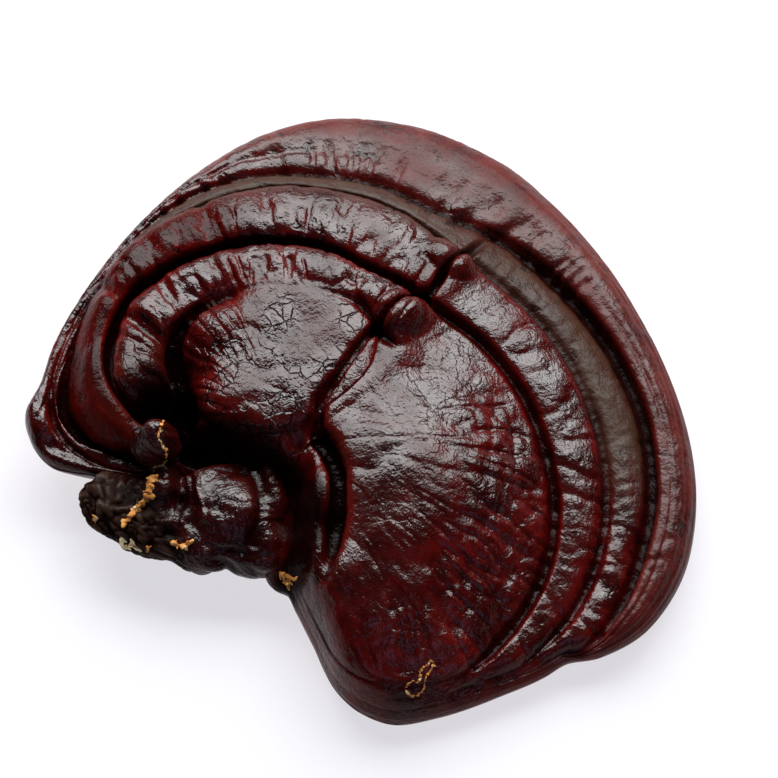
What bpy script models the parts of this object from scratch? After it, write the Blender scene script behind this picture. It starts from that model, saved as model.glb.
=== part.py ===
"""Reishi mushroom: a kidney-shaped cap with growth ridges, and the short side stem it grew from.

The cap lies on its pore side, which is flat in the middle. The growth centre stands above the
origin, the fan grows towards +Y and the stem comes out towards -Y. Sizes below are in
millimetres and degrees, and angles turn about the growth centre from +X towards +Y.
"""
import math

import bmesh
import bpy
import numpy as np

MM = 0.001

# Mesh of the cap: spokes round the growth centre, rings at shares of each growth zone's width,
# and rings of the sole at shares of the outline's distance.
SPOKES = 104
ZONE_RINGS = (
    (0.06, 0.13, 0.20, 0.27, 0.35, 0.44, 0.53, 0.63, 0.74, 0.85, 0.95),
    (0.00, 0.12, 0.35, 0.65, 0.88),
    (0.00, 0.12, 0.35, 0.65, 0.88),
    (0.00, 0.25, 0.75),
    (0.00, 0.18, 0.40, 0.62, 0.80, 0.92),
)
SOLE_RINGS = (0.985, 0.94, 0.86, 0.74, 0.56, 0.30)

# Outline of the cap: angle, distance, and heights of the top just inside it, of its widest
# part and of the sole.
OUTLINE = (
    (-47, 24.5, 15.0, 8.0, 0.5), (-41, 26.2, 15.0, 7.5, 0.5), (-35, 27.0, 15.5, 7.5, 0.5),
    (-30, 31.0, 14.5, 7.0, 0.5), (-24, 38.5, 13.0, 6.0, 0.0), (-19, 49.0, 11.0, 5.0, 0.0),
    (-14, 55.3, 9.5, 4.5, 0.0), (-7, 60.2, 8.5, 4.0, 0.0), (1, 62.4, 8.5, 4.0, 0.0),
    (13, 66.2, 9.0, 4.5, 0.0), (22, 70.5, 10.0, 5.0, 0.0), (26, 72.4, 10.5, 5.5, 0.3),
    (30, 77.8, 11.5, 6.0, 0.5), (39, 85.2, 12.5, 6.0, 0.5), (51, 89.0, 12.5, 6.0, 0.5),
    (63, 90.0, 12.5, 6.5, 0.5), (77, 90.3, 12.5, 7.0, 1.0), (89, 91.2, 13.0, 7.5, 1.0),
    (102, 93.8, 14.0, 8.0, 1.5), (113, 97.0, 15.5, 8.0, 1.5), (124, 100.6, 17.0, 8.5, 2.0),
    (137, 102.6, 17.0, 9.0, 2.5), (147, 101.6, 17.5, 10.0, 3.0), (158, 96.4, 18.5, 11.0, 5.0),
    (170, 87.0, 20.0, 13.5, 8.0), (183, 78.0, 21.0, 15.5, 11.0), (198, 70.8, 21.0, 16.5, 12.5),
    (214, 66.4, 20.5, 16.5, 13.0), (223, 64.6, 20.0, 16.0, 12.5), (229, 65.2, 20.0, 15.5, 11.5),
    (235, 62.4, 19.5, 14.5, 10.5), (240, 57.0, 18.0, 13.5, 9.5), (242, 50.0, 18.0, 14.0, 9.5),
    (243, 43.0, 18.0, 13.5, 8.0), (244, 35.0, 17.5, 12.5, 6.0), (246, 26.0, 17.0, 11.5, 3.5),
    (250, 19.5, 16.5, 11.0, 1.5), (258, 15.0, 16.5, 11.0, 0.0), (270, 12.0, 17.0, 11.0, 0.0),
    (284, 10.5, 18.0, 11.5, 0.0), (296, 12.0, 17.5, 11.5, 0.0), (305, 16.5, 16.0, 10.5, 0.5),
)
EDGE_ROUNDING = 9.0        # most that the rounded edge reaches in from the outline
EDGE_ROUNDING_SHARE = 0.6  # of the cap's thickness, where it is thin
CENTRE_HEIGHT = 29.0

# Growth lines, the creases between one year's rim and the next: angle, distance, height.
INNER_LINE = (
    (-45, 14, 20), (-35, 18, 20), (-22, 27, 20), (-7, 41, 18.5), (21, 42, 22), (50, 40, 26),
    (82, 36.5, 28.5), (108, 33, 29), (118, 33.4, 28.5), (134, 38.5, 28.5), (150, 39.5, 28),
    (166, 41.5, 27.5), (180, 42.8, 26), (196, 42, 24), (211, 34.6, 23), (220, 28.2, 22.5),
    (232, 21, 21.5), (244, 15, 21), (262, 8, 25), (290, 7, 24),
)
SECOND_LINE = (
    (-35, 60, 20), (-20, 60, 18), (-7, 60.2, 15), (5, 60, 13), (21, 59.7, 12.5), (35, 59.4, 13.5),
    (50, 57.9, 15.5), (64, 55.4, 18), (82, 52.8, 20.5), (99, 50.3, 23), (115, 48.2, 25),
    (131, 48.4, 26), (146, 51.8, 26.5), (161, 54.7, 26), (178, 56.3, 25.5), (187, 56.7, 25),
    (198, 55.9, 24), (207, 53, 22.5), (220, 46.5, 21.5), (228, 39.9, 20.5), (236, 29, 20),
    (244, 21, 18.5), (280, 60, 20),
)
THIRD_LINE = (
    (-35, 80, 18), (-20, 75, 15.5), (-7, 70, 12.5), (2, 64, 11), (7, 64.2, 10.5), (21, 66.3, 10.3),
    (34, 68.4, 10.8),
    (47, 69, 12), (61, 68.5, 14), (76, 67.6, 16), (90, 66.8, 18), (108, 65.4, 20.5),
    (119, 65, 22.5), (133, 68.5, 23.5), (146, 71, 23.5), (159, 72.5, 23.5), (173, 71, 23.5),
    (189, 69, 23), (202, 65.3, 21.5), (215, 61, 19), (227, 57, 16.5), (234, 49.6, 15.5),
    (238, 39, 15.5), (244, 28, 17), (280, 60, 18),
)
FOURTH_LINE = (
    (-35, 90, 16.5), (-20, 85, 13.5), (-7, 80, 10.5), (21, 80, 9.2), (26, 73.1, 9.2),
    (32, 76, 9.5), (40, 77.6, 10), (47, 78.1, 10.5), (58, 79.2, 11), (71, 79.4, 12),
    (87, 78.7, 13), (101, 77.4, 15), (113, 76.8, 17), (119, 75.6, 18.5), (128, 75, 19.5),
    (140, 77.6, 20), (150, 78.4, 20), (160, 79, 20.5), (171, 77.4, 21), (185, 73.2, 21),
    (198, 68.2, 20.5), (212, 64, 19), (223, 61.3, 17.5), (232, 56.5, 16), (240, 46, 15.5),
    (244, 34, 16.5), (280, 70, 17),
)
# How far each growth line stays inside the outline, where it would run off the cap.
LINE_MARGINS = (9.0, 4.5, 3.0, 1.5)
INNER_LINE_EDGE_SHARE = 0.75   # of the outline's distance: the most that the inner line takes
INNER_LINE_SHARE = 0.9         # of the second line's distance: the same

# The roll that each growth zone makes between its two lines: angle, height, lean, which is
# above 1 where the crest is near the outer line, and fullness, which is below 1 where the roll
# has steep flanks and a flat top.
ZONE_ROLLS = (
    ((0, 0.0, 1.0, 1.0), (112, 0.3, 1.0, 0.5), (240, 0.3, 1.0, 0.5), (270, 0.0, 1.0, 1.0)),
    ((0, 0.0, 1.0, 0.5), (108, 0.0, 1.0, 0.5), (117, 4.0, 1.0, 0.32), (160, 4.2, 1.0, 0.32),
     (190, 5.0, 0.9, 0.4), (204, 7.5, 1.0, 0.4), (218, 7.5, 1.0, 0.4), (223, 1.0, 1.0, 0.5),
     (227, -4.0, 1.0, 0.5), (236, -4.0, 1.0, 0.5), (246, 0.0, 1.0, 0.5), (300, 0.0, 1.0, 0.5)),
    ((-30, 0.0, 1.0, 0.5), (5, 0.8, 1.2, 0.5), (50, 2.0, 1.1, 0.4), (90, 2.2, 1.1, 0.4),
     (110, 2.0, 1.1, 0.4), (118, 4.2, 1.0, 0.32), (160, 4.5, 1.0, 0.32), (188, 5.5, 0.9, 0.4),
     (202, 5.5, 0.7, 0.8), (214, 5.5, 0.7, 0.8), (226, 5.5, 0.7, 0.8), (236, 4.5, 0.7, 0.8),
     (246, 1.0, 1.0, 0.5), (300, 0.5, 1.0, 0.5)),
    ((0, 0.4, 1.0, 0.8), (40, 1.6, 1.0, 0.8), (90, 1.6, 1.0, 0.8), (120, 0.6, 1.0, 0.6),
     (180, 0.8, 1.0, 0.5), (225, 1.0, 1.0, 0.5), (240, 0.6, 1.0, 0.5)),
    ((-30, 0.0, 1.0, 0.5), (10, 0.5, 1.0, 0.5), (40, 2.6, 0.7, 0.6), (70, 3.6, 0.6, 0.6),
     (100, 3.4, 0.7, 0.6), (130, 1.6, 0.9, 0.6), (170, 1.2, 1.0, 0.5), (200, 1.0, 1.0, 0.5),
     (232, 2.4, 1.0, 0.5), (246, 0.6, 1.0, 0.5), (300, 0.4, 1.0, 0.5)),
)
ROLL_FULL_WIDTH = 6.0      # a zone narrower than this has a lower roll

# The fan: the part of the top that is one dome from the centre to the second line, as a share
# of it at some angles.
FAN_SHARES = (
    (-60, 1.0), (20, 1.0), (98, 1.0), (110, 0.0), (180, 0.0), (236, 0.0), (256, 1.0), (280, 1.0),
)
FAN_BEND = 3.0             # above 1 it keeps the dome's middle high and makes its edge steep
CORE_BEND = 1.8            # the same for the innermost zone beside the fan

# Depth of the sharp crease along each growth line: angle, depth.
CREASES = (
    ((0, 0.0), (108, 0.0), (120, 1.4), (190, 1.4), (225, 1.2), (244, 0.3), (300, 0.0)),
    ((-20, 0.0), (0, 1.2), (60, 1.5), (115, 2.0), (200, 2.2), (235, 2.0), (246, 0.5), (300, 0.0)),
    ((-20, 0.0), (5, 0.8), (60, 1.1), (118, 1.6), (200, 1.2), (232, 1.8), (246, 0.5), (300, 0.0)),
    ((0, 0.0), (26, 0.6), (60, 1.2), (118, 1.2), (200, 0.8), (232, 1.2), (246, 0.3), (300, 0.0)),
)
CREASE_HALF_WIDTH = 1.1

# Radial pinches that part a zone's roll into segments: zone, angle, depth, half-width.
PINCHES = (
    (1, 137.0, 0.8, 1.6), (1, 157.0, 0.7, 1.6), (1, 176.0, 1.0, 1.8), (1, 190.0, 1.2, 1.8),
    (1, 202.0, 3.2, 2.0), (2, 127.0, 0.7, 1.6), (2, 144.0, 1.0, 1.8), (2, 160.0, 0.8, 1.8),
    (2, 173.0, 1.6, 2.0), (2, 186.0, 1.4, 2.0), (2, 199.0, 1.6, 2.2), (4, 236.5, 2.6, 2.6),
)

# Lumps on the cap: centre x, y, half-lengths along and across, turn, height, steepness.
OUTER_KNOB = (-29.0, 54.5, 7.0, 6.0, 30.0, 1.8, 1.4)
INNER_KNOB = (-19.0, 36.0, 6.5, 5.5, 30.0, 2.2, 1.4)
FAN_SWELL = (16.0, 22.0, 34.0, 24.0, 40.0, 2.4, 1.0)
FLANK_LUMP = (12.0, -3.5, 9.0, 4.6, -32.0, 3.0, 1.2)
BOSS_SHOULDER = (-38.0, -6.0, 12.0, 9.0, 60.0, 3.0, 1.0)
BOLSTER_END = (-35.0, -31.5, 13.0, 9.0, -30.0, 2.0, 1.4)
SIDE_PIT = (-25.0, -21.0, 8.0, 5.5, 65.0, -6.5, 1.2)

LUMPS = (
    OUTER_KNOB, INNER_KNOB, FAN_SWELL, FLANK_LUMP, BOSS_SHOULDER, BOLSTER_END, SIDE_PIT,
)
LUMP_FOOT = 1.5            # above 1 it eases the lumps' feet into the cap

# The boss: a level shelf inside the inner ridge, with a steep round front towards the stem:
# centre x, y, half-lengths along and across, turn, height of the shelf.
BOSS = (-25.0, 6.8, 22.0, 20.0, 100.0, 31.0)
BOSS_SQUARENESS = 2.5
BOSS_EDGE = 0.45           # share of the half-lengths over which its edge rounds over

# Folds sunk into the cap, each a path of x, y, depth and half-width.
RADIAL_FOLD = (
    (-33.0, 66.0, 1.0, 1.4), (-27.5, 53.0, 3.5, 1.5), (-22.9, 45.6, 4.5, 1.6),
    (-21.6, 36.5, 3.5, 1.6), (-17.0, 25.0, 3.0, 1.6), (-11.5, 15.8, 3.5, 1.8), (-7.0, 8.5, 5.0, 2.2),
    (-2.0, 5.0, 6.0, 2.6), (3.0, 5.3, 6.5, 2.8), (9.8, 4.3, 7.5, 3.0), (17.7, 0.1, 7.5, 3.0),
    (24.0, -4.4, 5.5, 3.0), (29.0, -9.0, 2.0, 3.0),
)
FLANK_HOLLOW = (
    (0.0, 0.0, 5.0, 4.5), (7.0, -4.0, 7.5, 6.0), (14.0, -8.0, 7.5, 7.0), (20.0, -13.0, 4.0, 6.0),
)
JOINT_FOLD = (
    (-22.0, -23.0, 3.0, 3.5), (-15.0, -18.5, 5.0, 3.5), (-8.0, -12.5, 6.0, 3.5),
    (-1.0, -7.5, 7.0, 3.5), (4.0, -7.0, 6.0, 3.5), (9.0, -11.0, 5.0, 3.5), (14.0, -16.0, 2.0, 3.5),
)
STRIATED_VALLEY = (
    (-44.0, 9.0, 0.5, 4.0), (-40.0, -3.0, 2.0, 5.0), (-32.5, -12.5, 4.0, 5.5),
    (-25.0, -19.0, 7.0, 5.0), (-17.0, -21.0, 7.0, 5.0),
)
FOLDS = (RADIAL_FOLD, FLANK_HOLLOW, JOINT_FOLD, STRIATED_VALLEY)

# The flat of the sole that the cap rests on, and the lift of the lobes beyond it.
FLAT_CENTRE = (2.0, 24.0)
FLAT_RADIUS = 40.0
SOLE_BEND = 1.5            # above 1 it makes the sole leave the flat gently

# Stem: rounded masses fused together, each a centre x, y, z, three half-lengths and a turn.
STEM_MASSES = (
    (-2.0, -11.0, 9.0, 12.0, 11.0, 9.0, 0.0),
    (0.5, -19.5, 12.0, 13.5, 11.0, 10.0, 20.0),
    (9.5, -17.0, 10.5, 8.5, 7.5, 7.5, 40.0),
    (2.0, -27.5, 11.5, 9.5, 8.0, 7.0, 10.0),
    (-4.0, -33.0, 12.5, 12.0, 8.5, 7.5, 60.0),
    (-10.0, -38.0, 13.5, 13.0, 8.5, 6.0, 38.0),
    (-8.5, -30.0, 17.5, 4.0, 3.6, 4.8, 0.0),
)
STEM_KNOB = (-17.0, -27.2, 23.5, 5.4, 4.4, 9.0, 65.0)
STEM_KNUCKLE = (-19.5, -30.0, 19.5, 3.4, 3.2, 3.8, 0.0)
STEM_FIN = ((-10.6, -31.8, 21.5), (-8.0, -34.6, 19.5), (-7.2, -38.6, 16.5), (-7.0, -41.4, 14.5))
STEM_FIN_RADIUS = 1.9
STEM_RIDGE = ((-3.5, -6.5, 17.0), (4.2, -9.5, 15.0), (12.0, -15.0, 10.5))
STEM_RIDGE_RADIUS = 3.4
FIN_STEPS = (0.0, 0.25, 0.5, 0.75, 1.0)
STEM_VOXEL = 3.2           # size of the grid that fuses the masses
STEM_SMOOTHING = 2
SMOOTHING_FACTOR = 0.5
JOINT_GAP = 0.35           # left between the stem and the cap all over their joint
MASS_SEGMENTS = 24
MASS_RINGS = 16

OUTLINE_SAMPLES = 720
SPOKE_SPREAD = 18.0        # gives the notch its share of spokes

# Colours are linear.
CRUST_COLOUR, CRUST_ROUGHNESS = (0.047, 0.006, 0.005), 0.25
STEM_COLOUR, STEM_ROUGHNESS = (0.03, 0.004, 0.004), 0.3


def clear_scene():
    """Empties the scene of objects."""
    for ob in list(bpy.data.objects):
        bpy.data.objects.remove(ob)


def principled(name, colour, roughness):
    """A plain material for one sub-part."""
    material = bpy.data.materials.new(name)
    material.use_nodes = True
    shader = material.node_tree.nodes["Principled BSDF"]
    shader.inputs["Base Color"].default_value = (*colour, 1.0)
    shader.inputs["Roughness"].default_value = roughness
    shader.inputs["Metallic"].default_value = 0.0
    return material


def around(points, angles):
    """Values at some angles of a smooth closed line through (angle, value, ...) points."""
    turn = np.array([360.0] + [0.0] * (len(points[0]) - 1))
    table = np.array(sorted((p[0] % 360.0, *p[1:]) for p in points), dtype=float)
    table = np.vstack([table[-2:] - turn, table, table[:2] + turn])
    knots, values = table[:, 0], table[:, 1:]
    steps = np.diff(knots)
    slopes = np.diff(values, axis=0) / steps[:, None]
    before, after = slopes[:-1], slopes[1:]
    level = before * after <= 0
    tangents = np.where(level, 0.0, 2 * before * after / np.where(level, 1.0, before + after))
    angles = np.mod(angles, 360.0)
    k = np.clip(np.searchsorted(knots, angles, side="right") - 1, 1, len(knots) - 3)
    step = steps[k][:, None]
    t = (angles[:, None] - knots[k][:, None]) / step
    rise = t * t * (3 - 2 * t)
    return (
        values[k] * (1 - rise)
        + values[k + 1] * rise
        + tangents[k - 1] * step * t * (1 - t) ** 2
        - tangents[k] * step * t * t * (1 - t)
    )


def polar(points):
    """Angle in degrees and distance of each plan point about the growth centre."""
    return np.degrees(np.arctan2(points[:, 1], points[:, 0])), np.hypot(points[:, 0], points[:, 1])


def on_circle(angles, distances):
    """Plan points at angles in degrees and distances."""
    turns = np.radians(angles)
    return np.stack([distances * np.cos(turns), distances * np.sin(turns)], axis=1)


def growth_lines(angles):
    """Distances and heights of the centre, the four growth lines and the outline at angles."""
    edge = around(OUTLINE, angles)
    distances, heights = [np.zeros(len(angles))], [np.full(len(angles), CENTRE_HEIGHT)]
    lines = (INNER_LINE, SECOND_LINE, THIRD_LINE, FOURTH_LINE)
    kept_inside = [edge[:, 0] - margin for margin in LINE_MARGINS]
    kept_inside[0] = np.minimum(kept_inside[1] * INNER_LINE_SHARE, edge[:, 0] * INNER_LINE_EDGE_SHARE)
    for line, limit in zip(lines, kept_inside):
        found = around(line, angles)
        distances.append(np.minimum(found[:, 0], limit))
        heights.append(found[:, 1])
    distances.append(edge[:, 0])
    heights.append(edge[:, 1])
    return np.array(distances), np.array(heights)


def path_reach(points, path):
    """Distance from each plan point to a path, and the path's further values at its foot."""
    path = np.array(path, dtype=float)
    best = np.full(len(points), np.inf)
    found = np.zeros((len(points), path.shape[1] - 2))
    for start, end in zip(path[:-1], path[1:]):
        run = end[:2] - start[:2]
        t = np.clip((points - start[:2]) @ run / (run @ run), 0.0, 1.0)
        away = np.linalg.norm(points - start[:2] - t[:, None] * run, axis=1)
        nearer = away < best
        best[nearer] = away[nearer]
        mixed = start[2:] + t[:, None] * (end[2:] - start[2:])
        found[nearer] = mixed[nearer]
    return best, found


def lump_share(points, shape):
    """How far out plan points lie on a lump, along and across it, as shares of its half-lengths."""
    x, y, along, across, turn = shape[:5]
    c, s = math.cos(math.radians(turn)), math.sin(math.radians(turn))
    dx, dy = points[:, 0] - x, points[:, 1] - y
    return np.abs(dx * c + dy * s) / along, np.abs(dy * c - dx * s) / across


def lump(points, shape):
    """Height that one lump adds at plan points."""
    height, steepness = shape[5:]
    share = np.hypot(*lump_share(points, shape))
    return height * np.clip(1 - share ** (2 * steepness), 0, 1) ** LUMP_FOOT


def shelf(points, heights):
    """Raises heights inside the boss's foot to its level."""
    along, across = lump_share(points, BOSS)
    share = (along**BOSS_SQUARENESS + across**BOSS_SQUARENESS) ** (1 / BOSS_SQUARENESS)
    into = np.clip((1 - share) / BOSS_EDGE, 0.0, 1.0)
    return heights + (np.maximum(BOSS[5], heights) - heights) * np.sqrt(1 - (1 - into) ** 2)


def fold(points, path):
    """Depth that one fold takes away at plan points."""
    away, values = path_reach(points, path)
    return values[:, 0] * np.exp(-((away / values[:, 1]) ** 2))


def open_top(points):
    """Height of the cap's top at plan points, before the rounding of its edge."""
    angles, away = polar(points)
    distances, heights = growth_lines(angles)
    top = np.array(heights[0])
    for zone, rolls in enumerate(ZONE_ROLLS):
        inner, outer = distances[zone], distances[zone + 1]
        width = np.maximum(outer - inner, 0.01)
        share = np.clip((away - inner) / width, 0.0, 1.0)
        inside = (away >= inner) & ((away < outer) | (zone == len(ZONE_ROLLS) - 1))
        bend = share**CORE_BEND if zone == 0 else share
        level = heights[zone] + (heights[zone + 1] - heights[zone]) * bend
        height, lean, fullness = around(rolls, angles).T
        height = height * np.clip(width / ROLL_FULL_WIDTH, 0.0, 1.0)
        roll = height * np.sin(math.pi * share**lean) ** fullness
        top = np.where(inside, level + roll, top)
    fan_share = around(FAN_SHARES, angles)[:, 0]
    reach = np.clip(away / np.maximum(distances[2], 0.01), 0.0, 1.0)
    dome = CENTRE_HEIGHT + (heights[2] - CENTRE_HEIGHT) * reach**FAN_BEND
    top = np.where(away < distances[2], fan_share * dome + (1 - fan_share) * top, top)
    for line, depths in enumerate(CREASES, start=1):
        room = np.clip((distances[-1] - distances[line]) / ROLL_FULL_WIDTH, 0.0, 1.0)
        near = (away - distances[line]) / CREASE_HALF_WIDTH
        top -= around(depths, angles)[:, 0] * room * np.exp(-(near**2))
    for zone, angle, depth, half_width in PINCHES:
        aside = away * np.radians(np.mod(angles - angle + 180.0, 360.0) - 180.0) / half_width
        width = np.maximum(distances[zone + 1] - distances[zone], 0.01)
        share = np.clip((away - distances[zone]) / width, 0.0, 1.0)
        top -= depth * np.exp(-(aside**2)) * np.sin(math.pi * share)
    top = shelf(points, top)
    for shape in LUMPS:
        top += lump(points, shape)
    for path in FOLDS:
        top -= fold(points, path)
    return top


def open_sole(points):
    """Height of the cap's sole at plan points, before the rounding of its edge."""
    angles, away = polar(points)
    edge = around(OUTLINE, angles)
    beyond = np.linalg.norm(points - np.array(FLAT_CENTRE), axis=1) - FLAT_RADIUS
    edge_points = on_circle(angles, edge[:, 0])
    edge_beyond = np.linalg.norm(edge_points - np.array(FLAT_CENTRE), axis=1) - FLAT_RADIUS
    share = np.clip(beyond / np.maximum(edge_beyond, 1.0), 0.0, 1.0)
    return edge[:, 3] * share**SOLE_BEND


def outline_path():
    """Plan points along the outline, with the height of its widest part and its rounding."""
    angles = np.arange(OUTLINE_SAMPLES + 1) * (360.0 / OUTLINE_SAMPLES)
    edge = around(OUTLINE, angles)
    rounding = np.minimum(EDGE_ROUNDING, EDGE_ROUNDING_SHARE * (edge[:, 1] - edge[:, 3]))
    return np.column_stack([on_circle(angles, edge[:, 0]), edge[:, 2], rounding])


def rounded(points, heights):
    """Heights drawn in to the edge's widest part, as a quarter of an ellipse."""
    away, values = path_reach(points, outline_path())
    share = np.clip(away / values[:, 1], 0.0, 1.0)
    return values[:, 0] + (heights - values[:, 0]) * np.sqrt(1 - (1 - share) ** 2)


def spoke_angles(count):
    """Angles of the spokes, closest together where the outline runs towards the centre."""
    angles = np.arange(OUTLINE_SAMPLES + 1) * (360.0 / OUTLINE_SAMPLES)
    outline = on_circle(angles, around(OUTLINE, angles)[:, 0])
    steps = np.linalg.norm(np.diff(outline, axis=0), axis=1)
    steps += SPOKE_SPREAD * np.radians(np.diff(angles))
    run = np.concatenate([[0.0], np.cumsum(steps)])
    return np.interp(np.arange(count) * run[-1] / count, run, angles)


def cap_rings(count, zone_rings, sole_rings):
    """Rings of the cap's surface from the top's centre, over the edge and under to the sole."""
    angles = spoke_angles(count)
    distances, _ = growth_lines(angles)
    rings = []
    for zone, shares in enumerate(zone_rings):
        for share in shares:
            away = distances[zone] + (distances[zone + 1] - distances[zone]) * share
            plan = on_circle(angles, away)
            rings.append(np.column_stack([plan, rounded(plan, open_top(plan))]))
    plan = on_circle(angles, distances[-1])
    rings.append(np.column_stack([plan, rounded(plan, open_top(plan))]))
    for share in sole_rings:
        plan = on_circle(angles, distances[-1] * share)
        rings.append(np.column_stack([plan, rounded(plan, open_sole(plan))]))
    return rings


def next_ring(bm, ring):
    """Extrudes a closed ring of vertices and returns the new ring in the same order."""
    count = len(ring)
    edges = [bm.edges.get((ring[i], ring[(i + 1) % count])) for i in range(count)]
    made = bmesh.ops.extrude_edge_only(bm, edges=edges)["geom"]
    fresh = {v for v in made if isinstance(v, bmesh.types.BMVert)}
    return [next(e.other_vert(v) for e in v.link_edges if e.other_vert(v) in fresh) for v in ring]


def place(ring, positions):
    """Moves a ring's vertices to positions in mm."""
    for vert, position in zip(ring, positions):
        vert.co = [value * MM for value in position]


def skin(rings, top_centre, sole_centre):
    """A closed mesh through rings, ending in a point at the top's and at the sole's centre."""
    bm = bmesh.new()
    count = len(rings[0])
    made = bmesh.ops.create_circle(bm, segments=count, radius=MM, cap_ends=False)["verts"]
    ring = sorted(made, key=lambda v: math.atan2(v.co.y, v.co.x) % (2 * math.pi))
    place(ring, rings[0])
    inner = next_ring(bm, ring)
    bmesh.ops.pointmerge(bm, verts=inner, merge_co=[value * MM for value in top_centre])
    for positions in rings[1:]:
        ring = next_ring(bm, ring)
        place(ring, positions)
    last = next_ring(bm, ring)
    bmesh.ops.pointmerge(bm, verts=last, merge_co=[value * MM for value in sole_centre])
    bmesh.ops.triangulate(bm, faces=bm.faces)
    bmesh.ops.recalc_face_normals(bm, faces=bm.faces)
    return bm


def object_from(bm, name, material):
    """Links a bmesh as a named object, shaded smooth."""
    mesh = bpy.data.meshes.new(name)
    bm.to_mesh(mesh)
    bm.free()
    mesh.materials.append(material)
    mesh.shade_smooth()
    ob = bpy.data.objects.new(name, mesh)
    bpy.context.scene.collection.objects.link(ob)
    return ob


def as_guide(ob):
    """Marks an object as one that only shapes others."""
    ob.hide_render = True
    ob.display_type = "WIRE"
    return ob


def make_cap():
    """The cap: its ridged top, rounded edge and flat sole in one skin."""
    rings = cap_rings(SPOKES, ZONE_RINGS, SOLE_RINGS)
    centre = np.zeros((1, 2))
    top_centre = (0.0, 0.0, rounded(centre, open_top(centre))[0])
    sole_centre = (0.0, 0.0, rounded(centre, open_sole(centre))[0])
    bm = skin(rings, top_centre, sole_centre)
    return object_from(bm, "cap", principled("lacquered crust", CRUST_COLOUR, CRUST_ROUGHNESS))


def add_mass(bm, shape):
    """Adds one rounded mass of the stem."""
    x, y, z, along, across, high, turn = shape
    made = bmesh.ops.create_uvsphere(bm, u_segments=MASS_SEGMENTS, v_segments=MASS_RINGS, radius=1.0)
    c, s = math.cos(math.radians(turn)), math.sin(math.radians(turn))
    for v in made["verts"]:
        p, q, r = v.co.x * along, v.co.y * across, v.co.z * high
        v.co = ((x + p * c - q * s) * MM, (y + p * s + q * c) * MM, (z + r) * MM)


def add_fin(bm, path, radius):
    """Adds a fin or a ridge as a row of close balls along a path."""
    for start, end in zip(path[:-1], path[1:]):
        for t in FIN_STEPS:
            x, y, z = (a + (b - a) * t for a, b in zip(start, end))
            add_mass(bm, (x, y, z, radius, radius, radius, 0.0))


def make_stem(cap):
    """The stem: masses fused on a grid, then cut back to leave the joint's gap to the cap."""
    bm = bmesh.new()
    for shape in (*STEM_MASSES, STEM_KNOB, STEM_KNUCKLE):
        add_mass(bm, shape)
    add_fin(bm, STEM_FIN, STEM_FIN_RADIUS)
    add_fin(bm, STEM_RIDGE, STEM_RIDGE_RADIUS)
    stem = object_from(bm, "stem", principled("lacquered stem", STEM_COLOUR, STEM_ROUGHNESS))
    fuse = stem.modifiers.new("fuse", "REMESH")
    fuse.mode = "VOXEL"
    fuse.voxel_size = STEM_VOXEL * MM
    fuse.use_smooth_shade = True
    soften = stem.modifiers.new("soften", "SMOOTH")
    soften.factor = SMOOTHING_FACTOR
    soften.iterations = STEM_SMOOTHING
    clearance = as_guide(cap.copy())
    clearance.name = "joint clearance"
    clearance.data = cap.data.copy()
    bpy.context.scene.collection.objects.link(clearance)
    swell = clearance.modifiers.new("swell", "DISPLACE")
    swell.strength = JOINT_GAP * MM
    swell.mid_level = 0.0
    cut = stem.modifiers.new("joint", "BOOLEAN")
    cut.use_self = True
    cut.operation = "DIFFERENCE"
    cut.object = clearance
    return stem


def main():
    """Builds the cap and the stem."""
    clear_scene()
    cap = make_cap()
    make_stem(cap)


main()
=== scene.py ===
"""The looks of a reishi mushroom: the fine surface and finish of its cap and stem, with a studio.

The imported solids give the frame. The cap and the stem are modelled again here from the same
driving sizes with the fine surface that the real ones have: wrinkles, pads, lips that overhang
the growth lines, torn edges and the pore side. Sizes are in millimetres and degrees unless a
name says otherwise, and angles turn about the growth centre from +X towards +Y.
"""
from __future__ import annotations

import logging
import math
from dataclasses import dataclass, field
from enum import Enum

import bmesh
import bpy
import numpy as np
from mathutils import Matrix, Vector
from mathutils.bvhtree import BVHTree


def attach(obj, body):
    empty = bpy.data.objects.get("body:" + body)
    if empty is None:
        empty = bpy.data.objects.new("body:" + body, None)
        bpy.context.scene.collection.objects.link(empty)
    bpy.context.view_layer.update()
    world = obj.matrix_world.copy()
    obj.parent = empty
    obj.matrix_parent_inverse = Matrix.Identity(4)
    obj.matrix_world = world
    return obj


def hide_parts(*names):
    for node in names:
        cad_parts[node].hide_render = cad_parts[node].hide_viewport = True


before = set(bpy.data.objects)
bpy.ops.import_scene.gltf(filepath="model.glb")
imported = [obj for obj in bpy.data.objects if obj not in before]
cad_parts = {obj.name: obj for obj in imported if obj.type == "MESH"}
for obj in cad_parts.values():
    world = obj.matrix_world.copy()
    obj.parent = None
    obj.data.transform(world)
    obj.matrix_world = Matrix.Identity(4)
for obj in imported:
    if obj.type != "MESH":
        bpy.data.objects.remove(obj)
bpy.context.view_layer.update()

log = logging.getLogger("reishi")
MM = 0.001
IMAGE_SIZE = 778           # pixels of the photograph, each way

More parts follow.
